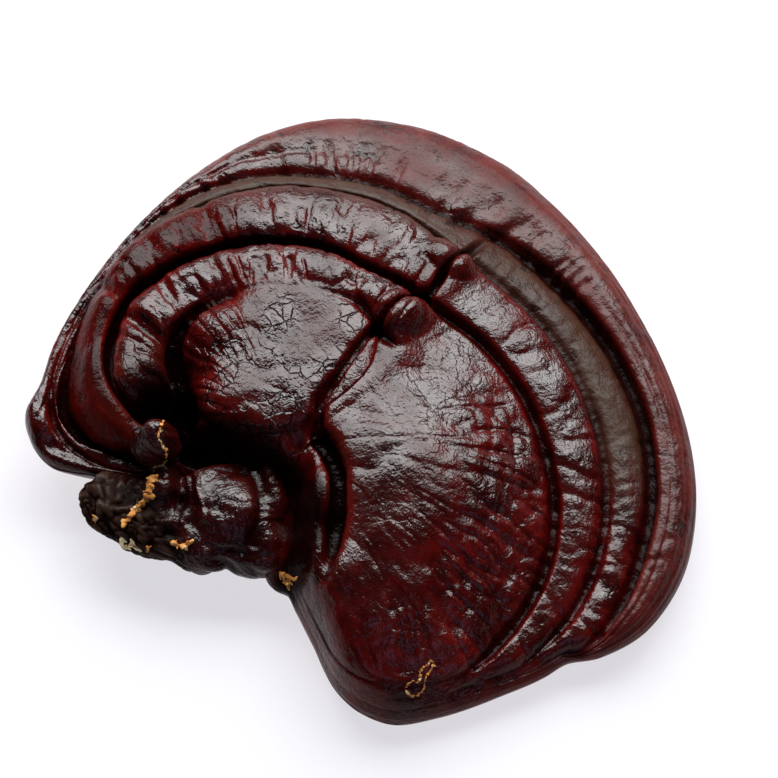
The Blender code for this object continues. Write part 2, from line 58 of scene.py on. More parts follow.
# Outline of the cap: angle, distance, and heights of the top just inside it, of its widest
# part and of the sole.
OUTLINE = (
    (-47, 24.5, 15.0, 8.0, 0.5), (-41, 26.2, 15.0, 7.5, 0.5), (-35, 27.0, 15.5, 7.5, 0.5),
    (-30, 31.0, 14.5, 7.0, 0.5), (-24, 38.5, 13.0, 6.0, 0.0), (-19, 49.0, 11.0, 5.0, 0.0),
    (-14, 55.3, 9.5, 4.5, 0.0), (-7, 60.2, 8.5, 4.0, 0.0), (1, 62.4, 8.5, 4.0, 0.0),
    (13, 66.2, 9.0, 4.5, 0.0), (22, 70.5, 10.0, 5.0, 0.0), (26, 72.4, 10.5, 5.5, 0.3),
    (30, 77.8, 11.5, 6.0, 0.5), (39, 85.2, 12.5, 6.0, 0.5), (51, 89.0, 12.5, 6.0, 0.5),
    (63, 90.0, 12.5, 6.5, 0.5), (77, 90.3, 12.5, 7.0, 1.0), (89, 91.2, 13.0, 7.5, 1.0),
    (102, 93.8, 14.0, 8.0, 1.5), (113, 97.0, 15.5, 8.0, 1.5), (124, 100.6, 17.0, 8.5, 2.0),
    (137, 102.6, 17.0, 9.0, 2.5), (147, 101.6, 17.5, 10.0, 3.0), (158, 96.4, 18.5, 11.0, 5.0),
    (170, 87.0, 20.0, 13.5, 8.0), (183, 78.0, 21.0, 15.5, 11.0), (198, 70.8, 21.0, 16.5, 12.5),
    (214, 66.4, 20.5, 16.5, 13.0), (223, 64.6, 20.0, 16.0, 12.5), (229, 65.2, 20.0, 15.5, 11.5),
    (235, 62.4, 19.5, 14.5, 10.5), (240, 57.0, 18.0, 13.5, 9.5), (242, 50.0, 18.0, 14.0, 9.5),
    (243, 43.0, 18.0, 13.5, 8.0), (244, 35.0, 17.5, 12.5, 6.0), (246, 26.0, 17.0, 11.5, 3.5),
    (250, 19.5, 16.5, 11.0, 1.5), (258, 15.0, 16.5, 11.0, 0.0), (270, 12.0, 17.0, 11.0, 0.0),
    (284, 10.5, 18.0, 11.5, 0.0), (296, 12.0, 17.5, 11.5, 0.0), (305, 16.5, 16.0, 10.5, 0.5),
)
EDGE_ROUNDING = 9.0        # most that the rounded edge reaches in from the outline
EDGE_ROUNDING_SHARE = 0.6  # of the cap's thickness, where it is thin
CENTRE_HEIGHT = 29.0

# Growth lines, the creases between one year's rim and the next: angle, distance, height.
INNER_LINE = (
    (-45, 14, 20), (-35, 18, 20), (-22, 27, 20), (-7, 41, 18.5), (21, 42, 22), (50, 40, 26),
    (82, 36.5, 28.5), (108, 33, 29), (118, 33.4, 28.5), (134, 38.5, 28.5), (150, 39.5, 28),
    (166, 41.5, 27.5), (180, 42.8, 26), (196, 42, 24), (211, 34.6, 23), (220, 28.2, 22.5),
    (232, 21, 21.5), (244, 15, 21), (262, 8, 25), (290, 7, 24),
)
SECOND_LINE = (
    (-35, 60, 20), (-20, 60, 18), (-7, 60.2, 15), (5, 60, 13), (21, 59.7, 12.5), (35, 59.4, 13.5),
    (50, 57.9, 15.5), (64, 55.4, 18), (82, 52.8, 20.5), (99, 50.3, 23), (115, 48.2, 25),
    (131, 48.4, 26), (146, 51.8, 26.5), (161, 54.7, 26), (178, 56.3, 25.5), (187, 56.7, 25),
    (198, 55.9, 24), (207, 53, 22.5), (220, 46.5, 21.5), (228, 39.9, 20.5), (236, 29, 20),
    (244, 21, 18.5), (280, 60, 20),
)
THIRD_LINE = (
    (-35, 80, 18), (-20, 75, 15.5), (-7, 70, 12.5), (2, 64, 11), (7, 64.2, 10.5), (21, 66.3, 10.3),
    (34, 68.4, 10.8),
    (47, 69, 12), (61, 68.5, 14), (76, 67.6, 16), (90, 66.8, 18), (108, 65.4, 20.5),
    (119, 65, 22.5), (133, 68.5, 23.5), (146, 71, 23.5), (159, 72.5, 23.5), (173, 71, 23.5),
    (189, 69, 23), (202, 65.3, 21.5), (215, 61, 19), (227, 57, 16.5), (234, 49.6, 15.5),
    (238, 39, 15.5), (244, 28, 17), (280, 60, 18),
)
FOURTH_LINE = (
    (-35, 90, 16.5), (-20, 85, 13.5), (-7, 80, 10.5), (21, 80, 9.2), (26, 73.1, 9.2),
    (32, 76, 9.5), (40, 77.6, 10), (47, 78.1, 10.5), (58, 79.2, 11), (71, 79.4, 12),
    (87, 78.7, 13), (101, 77.4, 15), (113, 76.8, 17), (119, 75.6, 18.5), (128, 75, 19.5),
    (140, 77.6, 20), (150, 78.4, 20), (160, 79, 20.5), (171, 77.4, 21), (185, 73.2, 21),
    (198, 68.2, 20.5), (212, 64, 19), (223, 61.3, 17.5), (232, 56.5, 16), (240, 46, 15.5),
    (244, 34, 16.5), (280, 70, 17),
)
# How far each growth line stays inside the outline, where it would run off the cap.
LINE_MARGINS = (9.0, 4.5, 3.0, 1.5)
INNER_LINE_EDGE_SHARE = 0.75   # of the outline's distance: the most that the inner line takes
INNER_LINE_SHARE = 0.9         # of the second line's distance: the same

# The roll that each growth zone makes between its two lines: angle, height, lean, which is
# above 1 where the crest is near the outer line, and fullness, which is below 1 where the roll
# has steep flanks and a flat top.
ZONE_ROLLS = (
    ((0, 0.0, 1.0, 1.0), (112, 0.3, 1.0, 0.5), (240, 0.3, 1.0, 0.5), (270, 0.0, 1.0, 1.0)),
    ((0, 0.0, 1.0, 0.5), (108, 0.0, 1.0, 0.5), (117, 4.0, 1.0, 0.32), (160, 4.2, 1.0, 0.32),
     (190, 5.0, 0.9, 0.4), (204, 7.5, 1.0, 0.4), (218, 7.5, 1.0, 0.4), (223, 1.0, 1.0, 0.5),
     (227, -4.0, 1.0, 0.5), (236, -4.0, 1.0, 0.5), (246, 0.0, 1.0, 0.5), (300, 0.0, 1.0, 0.5)),
    ((-30, 0.0, 1.0, 0.5), (5, 0.8, 1.2, 0.5), (50, 2.0, 1.1, 0.4), (90, 2.2, 1.1, 0.4),
     (110, 2.0, 1.1, 0.4), (118, 4.2, 1.0, 0.32), (160, 4.5, 1.0, 0.32), (188, 5.5, 0.9, 0.4),
     (202, 5.5, 0.7, 0.8), (214, 5.5, 0.7, 0.8), (226, 5.5, 0.7, 0.8), (236, 4.5, 0.7, 0.8),
     (246, 1.0, 1.0, 0.5), (300, 0.5, 1.0, 0.5)),
    ((0, 0.4, 1.0, 0.8), (40, 1.6, 1.0, 0.8), (90, 1.6, 1.0, 0.8), (120, 0.6, 1.0, 0.6),
     (180, 0.8, 1.0, 0.5), (225, 1.0, 1.0, 0.5), (240, 0.6, 1.0, 0.5)),
    ((-30, 0.0, 1.0, 0.5), (10, 0.5, 1.0, 0.5), (40, 2.6, 0.7, 0.6), (70, 3.6, 0.6, 0.6),
     (100, 3.4, 0.7, 0.6), (130, 1.6, 0.9, 0.6), (170, 1.2, 1.0, 0.5), (200, 1.0, 1.0, 0.5),
     (232, 2.4, 1.0, 0.5), (246, 0.6, 1.0, 0.5), (300, 0.4, 1.0, 0.5)),
)
ROLL_FULL_WIDTH = 6.0      # a zone narrower than this has a lower roll

# The fan: the part of the top that is one dome from the centre to the second line, as a share
# of it at some angles.
FAN_SHARES = (
    (-60, 1.0), (20, 1.0), (98, 1.0), (110, 0.0), (180, 0.0), (236, 0.0), (256, 1.0), (280, 1.0),
)
FAN_BEND = 3.0             # above 1 it keeps the dome's middle high and makes its edge steep
CORE_BEND = 1.8            # the same for the innermost zone beside the fan

# Depth of the sharp crease along each growth line: angle, depth.
CREASES = (
    ((0, 0.0), (108, 0.0), (120, 1.4), (190, 1.4), (225, 1.2), (244, 0.3), (300, 0.0)),
    ((-20, 0.0), (0, 1.2), (60, 1.5), (115, 2.0), (200, 2.2), (235, 2.0), (246, 0.5), (300, 0.0)),
    ((-20, 0.0), (5, 0.8), (60, 1.1), (118, 1.6), (200, 1.2), (232, 1.8), (246, 0.5), (300, 0.0)),
    ((0, 0.0), (26, 0.6), (60, 1.2), (118, 1.2), (200, 0.8), (232, 1.2), (246, 0.3), (300, 0.0)),
)
CREASE_HALF_WIDTH = 1.1

# Radial pinches that part a zone's roll into segments: zone, angle, depth, half-width.
PINCHES = (
    (1, 137.0, 0.8, 1.6), (1, 157.0, 0.7, 1.6), (1, 176.0, 1.0, 1.8), (1, 190.0, 1.2, 1.8),
    (1, 202.0, 3.2, 2.0), (2, 127.0, 0.7, 1.6), (2, 144.0, 1.0, 1.8), (2, 160.0, 0.8, 1.8),
    (2, 173.0, 1.6, 2.0), (2, 186.0, 1.4, 2.0), (2, 199.0, 1.6, 2.2), (4, 236.5, 2.6, 2.6),
)

# Lumps on the cap: centre x, y, half-lengths along and across, turn, height, steepness.
OUTER_KNOB = (-29.0, 54.5, 7.0, 6.0, 30.0, 1.8, 1.4)
INNER_KNOB = (-19.0, 36.0, 6.5, 5.5, 30.0, 2.2, 1.4)
FAN_SWELL = (16.0, 22.0, 34.0, 24.0, 40.0, 2.4, 1.0)
FLANK_LUMP = (12.0, -3.5, 9.0, 4.6, -32.0, 3.0, 1.2)
BOSS_SHOULDER = (-38.0, -6.0, 12.0, 9.0, 60.0, 3.0, 1.0)
BOLSTER_END = (-35.0, -31.5, 13.0, 9.0, -30.0, 2.0, 1.4)
SIDE_PIT = (-25.0, -21.0, 8.0, 5.5, 65.0, -6.5, 1.2)

LUMPS = (
    OUTER_KNOB, INNER_KNOB, FAN_SWELL, FLANK_LUMP, BOSS_SHOULDER, BOLSTER_END, SIDE_PIT,
)
LUMP_FOOT = 1.5            # above 1 it eases the lumps' feet into the cap

# The boss: a level shelf inside the inner ridge, with a steep round front towards the stem:
# centre x, y, half-lengths along and across, turn, height of the shelf.
BOSS = (-25.0, 6.8, 22.0, 20.0, 100.0, 31.0)
BOSS_SQUARENESS = 2.5
BOSS_EDGE = 0.45           # share of the half-lengths over which its edge rounds over

# Folds sunk into the cap, each a path of x, y, depth and half-width.
RADIAL_FOLD = (
    (-33.0, 66.0, 1.0, 1.4), (-27.5, 53.0, 3.5, 1.5), (-22.9, 45.6, 4.5, 1.6),
    (-21.6, 36.5, 3.5, 1.6), (-17.0, 25.0, 3.0, 1.6), (-11.5, 15.8, 3.5, 1.8), (-7.0, 8.5, 5.0, 2.2),
    (-2.0, 5.0, 6.0, 2.6), (3.0, 5.3, 6.5, 2.8), (9.8, 4.3, 7.5, 3.0), (17.7, 0.1, 7.5, 3.0),
    (24.0, -4.4, 5.5, 3.0), (29.0, -9.0, 2.0, 3.0),
)
FLANK_HOLLOW = (
    (0.0, 0.0, 5.0, 4.5), (7.0, -4.0, 7.5, 6.0), (14.0, -8.0, 7.5, 7.0), (20.0, -13.0, 4.0, 6.0),
)
JOINT_FOLD = (
    (-22.0, -23.0, 3.0, 3.5), (-15.0, -18.5, 5.0, 3.5), (-8.0, -12.5, 6.0, 3.5),
    (-1.0, -7.5, 7.0, 3.5), (4.0, -7.0, 6.0, 3.5), (9.0, -11.0, 5.0, 3.5), (14.0, -16.0, 2.0, 3.5),
)
STRIATED_VALLEY = (
    (-44.0, 9.0, 0.5, 4.0), (-40.0, -3.0, 2.0, 5.0), (-32.5, -12.5, 4.0, 5.5),
    (-25.0, -19.0, 7.0, 5.0), (-17.0, -21.0, 7.0, 5.0),
)
FOLDS = (RADIAL_FOLD, FLANK_HOLLOW, JOINT_FOLD, STRIATED_VALLEY)

# The flat of the sole that the cap rests on, and the lift of the lobes beyond it.
FLAT_CENTRE = (2.0, 24.0)
FLAT_RADIUS = 40.0
SOLE_BEND = 1.5            # above 1 it makes the sole leave the flat gently

# Stem: rounded masses fused together, each a centre x, y, z, three half-lengths and a turn.
STEM_MASSES = (
    (-2.0, -11.0, 9.0, 12.0, 11.0, 9.0, 0.0),
    (0.5, -19.5, 12.0, 13.5, 11.0, 10.0, 20.0),
    (9.5, -17.0, 10.5, 8.5, 7.5, 7.5, 40.0),
    (2.0, -27.5, 11.5, 9.5, 8.0, 7.0, 10.0),
    (-4.0, -33.0, 12.5, 12.0, 8.5, 7.5, 60.0),
    (-10.0, -38.0, 13.5, 13.0, 8.5, 6.0, 38.0),
    (-8.5, -30.0, 17.5, 4.0, 3.6, 4.8, 0.0),
)
STEM_KNOB = (-17.0, -27.2, 23.5, 5.4, 4.4, 9.0, 65.0)
STEM_KNUCKLE = (-19.5, -30.0, 19.5, 3.4, 3.2, 3.8, 0.0)
STEM_NECK = (-12.8, -28.0, 17.5, 3.4, 3.6, 5.0, 0.0)    # joins the knob to the masses
STEM_FIN = ((-10.6, -31.8, 21.5), (-8.0, -34.6, 19.5), (-7.2, -38.6, 16.5), (-7.0, -41.4, 14.5))
STEM_FIN_RADIUS = 1.9
STEM_RIDGE = ((-3.5, -6.5, 17.0), (4.2, -9.5, 15.0), (12.0, -15.0, 10.5))
STEM_RIDGE_RADIUS = 3.4
FIN_STEPS = (0.0, 0.25, 0.5, 0.75, 1.0)
NOISE_START = 50.0         # cells, which keep the places of a noise above 0
NOISE_CELLS = 128          # after which a noise repeats, more than any piece needs
GROOVE_SWAY = (0.4, 1.7, 1.2)    # cells of a groove's sway to its spacing and length, and its reach
OUTLINE_SAMPLES = 720
OUTLINE_MARK_STEP = 8      # samples between the marks that tell which points are near the outline
OUTLINE_MARK_REACH = 6.0   # more than half the way between two marks
MIDDLE_DISTANCE = 60.0     # where radial wrinkles have the spacing that they are given
ZONE_WIDTH = 13.0          # of the rim, where ringed wrinkles have the length that they are given
PLAN_REACH = 120.0         # more than any plan point's distance from the growth centre
NOTCH_ANGLE = 265.0        # where the cap's skin has its seam, in the notch at the stem

# Fine rings across each growth zone, and under the sole.
FINE_RINGS = (44, 26, 22, 12, 32)
FINE_SOLE_RINGS = 22
FINE_SPOKES = 620
SPOKE_SPREAD = 60.0        # gives the notch and the inner zones their share of spokes
EDGE_CROWDING = 1.7        # above 1 it draws the outer rings together at the rim
MERGE_DISTANCE = 1e-6      # in metres: vertices of the seam that lie closer are one


class Layer(Enum):
    """The finishes of the cap's skin, by the place of their material."""

    CRUST = 0
    PORES = 1


def linear(hex_colour: str) -> tuple[float, float, float, float]:
    """Turns an sRGB hex colour into a linear one with alpha."""
    channels = [int(hex_colour[i:i + 2], 16) / 255 for i in (1, 3, 5)]
    return (*(c / 12.92 if c <= 0.04045 else ((c + 0.055) / 1.055) ** 2.4 for c in channels), 1.0)


def window(values: np.ndarray, low: float, high: float, fade: float) -> np.ndarray:
    """Rises smoothly from 0 to 1 about a low value and falls again about a high one.

    Args:
        values: what is windowed.
        low: the value where half of the rise is done.
        high: the value where half of the fall is done.
        fade: how far each of them takes.

    Returns:
        Weights from 0 to 1.
    """
    rise = np.clip((values - low) / fade + 0.5, 0.0, 1.0)
    fall = np.clip((high - values) / fade + 0.5, 0.0, 1.0)
    return rise * rise * (3 - 2 * rise) * fall * fall * (3 - 2 * fall)


def smooth_noise(across: np.ndarray, along: np.ndarray, seed: int) -> np.ndarray:
    """Smooth random values from 0 to 1 at places on a plane.

    Args:
        across: places in cells, one way.
        along: places in cells, the other way.
        seed: picks the pattern.

    Returns:
        One value for each place.
    """
    table = np.random.default_rng(seed).random((NOISE_CELLS, NOISE_CELLS))
    i, j = np.floor(across).astype(int), np.floor(along).astype(int)
    s, t = across - i, along - j
    s, t = s * s * (3 - 2 * s), t * t * (3 - 2 * t)
    i, j, i1, j1 = (cell % NOISE_CELLS for cell in (i, j, i + 1, j + 1))
    near = table[i, j] * (1 - s) + table[i1, j] * s
    far = table[i, j1] * (1 - s) + table[i1, j1] * s
    return near * (1 - t) + far * t


def grooves(across: np.ndarray, along: np.ndarray, seed: int, sharpness: float = 3.0) -> np.ndarray:
    """Wandering grooves between rounded pads: 1 at the bottom of a groove, 0 on a pad.

    Args:
        across: places in groove spacings, across the grooves.
        along: places in groove lengths, along them.
        seed: picks the pattern.
        sharpness: how narrow the grooves are beside the pads.

    Returns:
        One value for each place.
    """
    across_share, along_share, reach = GROOVE_SWAY
    sway = smooth_noise(across * across_share, along * along_share, seed + 1)
    level = smooth_noise(across + reach * sway, along, seed)
    return (1 - np.abs(2 * level - 1)) ** sharpness


def around(points: tuple, angles: np.ndarray) -> np.ndarray:
    """Values at some angles of a smooth closed line.

    Args:
        points: angle and values, in any order.
        angles: where the values are wanted, in degrees.

    Returns:
        A row of values for each angle.
    """
    turn = np.array([360.0] + [0.0] * (len(points[0]) - 1))
    table = np.array(sorted((p[0] % 360.0, *p[1:]) for p in points), dtype=float)
    table = np.vstack([table[-2:] - turn, table, table[:2] + turn])
    knots, values = table[:, 0], table[:, 1:]
    steps = np.diff(knots)
    slopes = np.diff(values, axis=0) / steps[:, None]
    before, after = slopes[:-1], slopes[1:]
    level = before * after <= 0
    tangents = np.where(level, 0.0, 2 * before * after / np.where(level, 1.0, before + after))
    angles = np.mod(angles, 360.0)
    k = np.clip(np.searchsorted(knots, angles, side="right") - 1, 1, len(knots) - 3)
    step = steps[k][:, None]
    t = (angles[:, None] - knots[k][:, None]) / step
    rise = t * t * (3 - 2 * t)
    return (
        values[k] * (1 - rise)
        + values[k + 1] * rise
        + tangents[k - 1] * step * t * (1 - t) ** 2
        - tangents[k] * step * t * t * (1 - t)
    )


def polar(points: np.ndarray) -> tuple[np.ndarray, np.ndarray]:
    """Angle in degrees and distance of each plan point about the growth centre."""
    return np.degrees(np.arctan2(points[:, 1], points[:, 0])), np.hypot(points[:, 0], points[:, 1])


def on_circle(angles: np.ndarray, distances: np.ndarray) -> np.ndarray:
    """Plan points at angles in degrees and distances."""
    turns = np.radians(angles)
    return np.stack([distances * np.cos(turns), distances * np.sin(turns)], axis=1)


def from_notch(angles: np.ndarray) -> np.ndarray:
    """Angles counted from the notch, so that patterns have their seam there."""
    return np.mod(angles - NOTCH_ANGLE, 360.0)


def path_reach(points: np.ndarray, path: tuple) -> tuple[np.ndarray, np.ndarray]:
    """Distance from each point to a path, and the path's further values at its foot.

    Args:
        points: places, in as many directions as they have columns.
        path: points of the path, each a place and further values.

    Returns:
        The distances, and a row of the path's values for each place.
    """
    path = np.array(path, dtype=float)
    size = points.shape[1]
    best = np.full(len(points), np.inf)
    found = np.zeros((len(points), path.shape[1] - size))
    for start, end in zip(path[:-1], path[1:]):
        run = end[:size] - start[:size]
        t = np.clip((points - start[:size]) @ run / (run @ run), 0.0, 1.0)
        away = np.linalg.norm(points - start[:size] - t[:, None] * run, axis=1)
        nearer = away < best
        best[nearer] = away[nearer]
        mixed = start[size:] + t[:, None] * (end[size:] - start[size:])
        found[nearer] = mixed[nearer]
    return best, found


def link(name: str, data: bpy.types.ID) -> bpy.types.Object:
    """Makes an object and links it to the scene."""
    made = bpy.data.objects.new(name, data)
    bpy.context.scene.collection.objects.link(made)
    return made


def mesh_of(name: str, bm: bmesh.types.BMesh) -> bpy.types.Mesh:
    """Makes a mesh of a bmesh, which is freed."""
    mesh = bpy.data.meshes.new(name)
    bm.to_mesh(mesh)
    bm.free()
    return mesh


def fuse(name: str, bm: bmesh.types.BMesh, voxel: float, smoothing: int) -> bpy.types.Object:
    """Fuses overlapping solids on a fine grid and smooths them.

    Args:
        name: the object's name.
        bm: the solids, which are freed.
        voxel: the grid's size.
        smoothing: how many times the surface is smoothed.

    Returns:
        The object, with its modifiers applied.
    """
    piece = link(name, mesh_of(name, bm))
    remesh = piece.modifiers.new("fuse", "REMESH")
    remesh.mode = "VOXEL"
    remesh.voxel_size = voxel * MM
    soften = piece.modifiers.new("soften", "SMOOTH")
    soften.factor = 0.5
    soften.iterations = smoothing
    graph = bpy.context.evaluated_depsgraph_get()
    fused = bpy.data.meshes.new_from_object(piece.evaluated_get(graph))
    piece.modifiers.clear()
    piece.data = fused
    fused.name = name
    return piece


def turn_outwards(mesh: bpy.types.Mesh, merge: float = 0.0) -> None:
    """Merges what lies closer than a distance, turns the faces outwards and shades them smooth."""
    bm = bmesh.new()
    bm.from_mesh(mesh)
    if merge:
        bmesh.ops.remove_doubles(bm, verts=bm.verts, dist=merge)
    bmesh.ops.recalc_face_normals(bm, faces=bm.faces)
    bm.to_mesh(mesh)
    bm.free()
    mesh.shade_smooth()


def surface_of(piece: bpy.types.Object) -> BVHTree:
    """The surface of a piece, to find places on."""
    return BVHTree.FromObject(piece, bpy.context.evaluated_depsgraph_get())


def read(mesh: bpy.types.Mesh, kind: str) -> np.ndarray:
    """Reads the place ("co") or the normal of each vertex, a row for each."""
    values = np.empty(len(mesh.vertices) * 3)
    mesh.vertices.foreach_get(kind, values)
    return values.reshape(-1, 3)


def store(mesh: bpy.types.Mesh, patina: dict[str, np.ndarray]) -> None:
    """Stores a value or a vector of each vertex as attributes that the crust reads."""
    for name, values in patina.items():
        kind, entry = ("FLOAT_VECTOR", "vector") if values.ndim > 1 else ("FLOAT", "value")
        attribute = mesh.attributes.new(name, kind, "POINT")
        attribute.data.foreach_set(entry, values.astype(np.float32).ravel())


def mark_level_parts(mesh: bpy.types.Mesh) -> None:
    """Stores how level the surface is: the crust paints level tops darker as painted shade, and steep
    flanks mirror less.
    """
    store(mesh, {"level": np.clip(read(mesh, "normal")[:, 2], 0.0, 1.0)})


@dataclass(frozen=True)
class View:
    """The photograph's view: where its camera stands, and what its pixels meet."""

    azimuth: float = 62.0        # the camera looks along it, from +Y towards -X
    elevation: float = 60.0
    depth: float = 475.0         # from the camera to the growth centre, along its view
    lens: float = 100.0
    sensor: float = 36.0
    centre_pixel: tuple = (300.0, 440.0)
    centre_height: float = 30.0

    def axes(self) -> tuple[Vector, Vector, Vector]:
        """The camera's right, up and forward directions."""
        a, e = math.radians(self.azimuth), math.radians(self.elevation)
        forward = Vector((-math.sin(a) * math.cos(e), math.cos(a) * math.cos(e), -math.sin(e)))
        right = Vector((math.cos(a), math.sin(a), 0.0))
        return right, right.cross(forward), forward

    def towards(self, pixel: tuple) -> Vector:
        """The direction in which a pixel looks, as long as its way to the image plane is 1."""
        right, up, forward = self.axes()
        focal = self.lens / self.sensor * IMAGE_SIZE
        x, y = pixel[0] - IMAGE_SIZE / 2, IMAGE_SIZE / 2 - pixel[1]
        return forward + x / focal * right + y / focal * up

    def eye(self) -> Vector:
        """Where the camera stands."""
        return Vector((0.0, 0.0, self.centre_height)) - self.towards(self.centre_pixel) * self.depth

    def meets(self, surface: BVHTree, pixel: tuple) -> Vector | None:
        """Finds what a pixel shows.

        Args:
            surface: the surface that may be seen.
            pixel: the pixel, from the image's top left.

        Returns:
            The place on the surface, or None beside it.
        """
        place = surface.ray_cast(self.eye() * MM, self.towards(pixel).normalized())[0]
        return None if place is None else place / MM

    def camera(self) -> bpy.types.Object:
        """Places the scene's camera at the photograph's angle."""
        right, up, forward = self.axes()
        data = bpy.data.cameras.new("camera")
        data.lens = self.lens
        data.sensor_width = self.sensor
        data.clip_start = 0.01
        camera = link("camera", data)
        turn = Matrix((right, up, -forward)).transposed().to_4x4()
        camera.matrix_world = Matrix.Translation(self.eye() * MM) @ turn
        bpy.context.scene.camera = camera
        return camera


@dataclass
class Growth:
    """The cap's form as a height over its plan, from its growth lines to its lumps and folds."""

    outline: tuple = OUTLINE
    lines: tuple = (INNER_LINE, SECOND_LINE, THIRD_LINE, FOURTH_LINE)
    rolls: tuple = ZONE_ROLLS
    creases: tuple = CREASES
    lumps: tuple = LUMPS
    folds: tuple = FOLDS
    fold_widths: tuple = (0.65, 1.0, 1.0, 1.0)    # the fine surface has a narrower radial fold

    def growth_lines(self, angles: np.ndarray) -> tuple[np.ndarray, np.ndarray]:
        """Finds the growth lines at some angles.

        Args:
            angles: angles in degrees.

        Returns:
            Distances and heights of the centre, the four lines and the outline, a row for each.
        """
        edge = around(self.outline, angles)
        distances, heights = [np.zeros(len(angles))], [np.full(len(angles), CENTRE_HEIGHT)]
        kept_inside = [edge[:, 0] - margin for margin in LINE_MARGINS]
        shares = kept_inside[1] * INNER_LINE_SHARE, edge[:, 0] * INNER_LINE_EDGE_SHARE
        kept_inside[0] = np.minimum(*shares)
        for line, limit in zip(self.lines, kept_inside):
            found = around(line, angles)
            distances.append(np.minimum(found[:, 0], limit))
            heights.append(found[:, 1])
        distances.append(edge[:, 0])
        heights.append(edge[:, 1])
        return np.array(distances), np.array(heights)

    def lump_share(self, points: np.ndarray, shape: tuple) -> tuple[np.ndarray, np.ndarray]:
        """How far out plan points lie on a lump, along and across it, as shares of its half-lengths."""
        x, y, along, across, turn = shape[:5]
        c, s = math.cos(math.radians(turn)), math.sin(math.radians(turn))
        dx, dy = points[:, 0] - x, points[:, 1] - y
        return np.abs(dx * c + dy * s) / along, np.abs(dy * c - dx * s) / across

    def lump(self, points: np.ndarray, shape: tuple) -> np.ndarray:
        """Height that one lump adds at plan points."""
        height, steepness = shape[5:]
        share = np.hypot(*self.lump_share(points, shape))
        return height * np.clip(1 - share ** (2 * steepness), 0, 1) ** LUMP_FOOT

    def shelf(self, points: np.ndarray, heights: np.ndarray) -> np.ndarray:
        """Raises heights inside the boss's foot to its level."""
        along, across = self.lump_share(points, BOSS)
        share = (along**BOSS_SQUARENESS + across**BOSS_SQUARENESS) ** (1 / BOSS_SQUARENESS)
        into = np.clip((1 - share) / BOSS_EDGE, 0.0, 1.0)
        return heights + (np.maximum(BOSS[5], heights) - heights) * np.sqrt(1 - (1 - into) ** 2)

    def open_top(self, points: np.ndarray) -> np.ndarray:
        """Finds the height of the cap's top before the rounding of its edge.

        Args:
            points: plan points.

        Returns:
            A height for each point.
        """
        angles, away = polar(points)
        distances, heights = self.growth_lines(angles)
        top = np.array(heights[0])
        for zone, rolls in enumerate(self.rolls):
            inner, outer = distances[zone], distances[zone + 1]
            width = np.maximum(outer - inner, 0.01)
            share = np.clip((away - inner) / width, 0.0, 1.0)
            inside = (away >= inner) & ((away < outer) | (zone == len(self.rolls) - 1))
            bend = share**CORE_BEND if zone == 0 else share
            level = heights[zone] + (heights[zone + 1] - heights[zone]) * bend
            height, lean, fullness = around(rolls, angles).T
            height = height * np.clip(width / ROLL_FULL_WIDTH, 0.0, 1.0)
            roll = height * np.sin(math.pi * share**lean) ** fullness
            top = np.where(inside, level + roll, top)
        fan_share = around(FAN_SHARES, angles)[:, 0]
        reach = np.clip(away / np.maximum(distances[2], 0.01), 0.0, 1.0)
        dome = CENTRE_HEIGHT + (heights[2] - CENTRE_HEIGHT) * reach**FAN_BEND
        top = np.where(away < distances[2], fan_share * dome + (1 - fan_share) * top, top)
        for line, depths in enumerate(self.creases, start=1):
            room = np.clip((distances[-1] - distances[line]) / ROLL_FULL_WIDTH, 0.0, 1.0)
            near = (away - distances[line]) / CREASE_HALF_WIDTH
            top -= around(depths, angles)[:, 0] * room * np.exp(-(near**2))
        for zone, angle, depth, half_width in PINCHES:
            aside = away * np.radians(np.mod(angles - angle + 180.0, 360.0) - 180.0) / half_width
            width = np.maximum(distances[zone + 1] - distances[zone], 0.01)
            share = np.clip((away - distances[zone]) / width, 0.0, 1.0)
            top -= depth * np.exp(-(aside**2)) * np.sin(math.pi * share)
        top = self.shelf(points, top)
        for shape in self.lumps:
            top += self.lump(points, shape)
        for path, width in zip(self.folds, self.fold_widths):
            reach, values = path_reach(points, path)
            top -= values[:, 0] * np.exp(-((reach / (values[:, 1] * width)) ** 2))
        return top

    def open_sole(self, points: np.ndarray) -> np.ndarray:
        """Finds the height of the cap's sole before the rounding of its edge.

        Args:
            points: plan points.

        Returns:
            A height for each point.
        """
        angles, _ = polar(points)
        edge = around(self.outline, angles)
        beyond = np.linalg.norm(points - np.array(FLAT_CENTRE), axis=1) - FLAT_RADIUS
        edge_points = on_circle(angles, edge[:, 0])
        edge_beyond = np.linalg.norm(edge_points - np.array(FLAT_CENTRE), axis=1) - FLAT_RADIUS
        share = np.clip(beyond / np.maximum(edge_beyond, 1.0), 0.0, 1.0)
        return edge[:, 3] * share**SOLE_BEND

    def rounded(self, points: np.ndarray, heights: np.ndarray) -> np.ndarray:
        """Draws heights in to the edge's widest part, as a quarter of an ellipse.

        Args:
            points: plan points.
            heights: the height of each before the rounding.

        Returns:
            The height of each after it.
        """
        angles = np.arange(OUTLINE_SAMPLES + 1) * (360.0 / OUTLINE_SAMPLES)
        edge = around(self.outline, angles)
        rounding = np.minimum(EDGE_ROUNDING, EDGE_ROUNDING_SHARE * (edge[:, 1] - edge[:, 3]))
        path = np.column_stack([on_circle(angles, edge[:, 0]), edge[:, 2], rounding])
        marks = path[::OUTLINE_MARK_STEP, :2]
        gaps = np.min([np.linalg.norm(points - mark, axis=1) for mark in marks], axis=0)
        near = gaps < EDGE_ROUNDING + OUTLINE_MARK_REACH
        away, values = path_reach(points[near], path)
        share = np.clip(away / values[:, 1], 0.0, 1.0)
        drawn = np.array(heights)
        drawn[near] = values[:, 0] + (heights[near] - values[:, 0]) * np.sqrt(1 - (1 - share) ** 2)
        return drawn


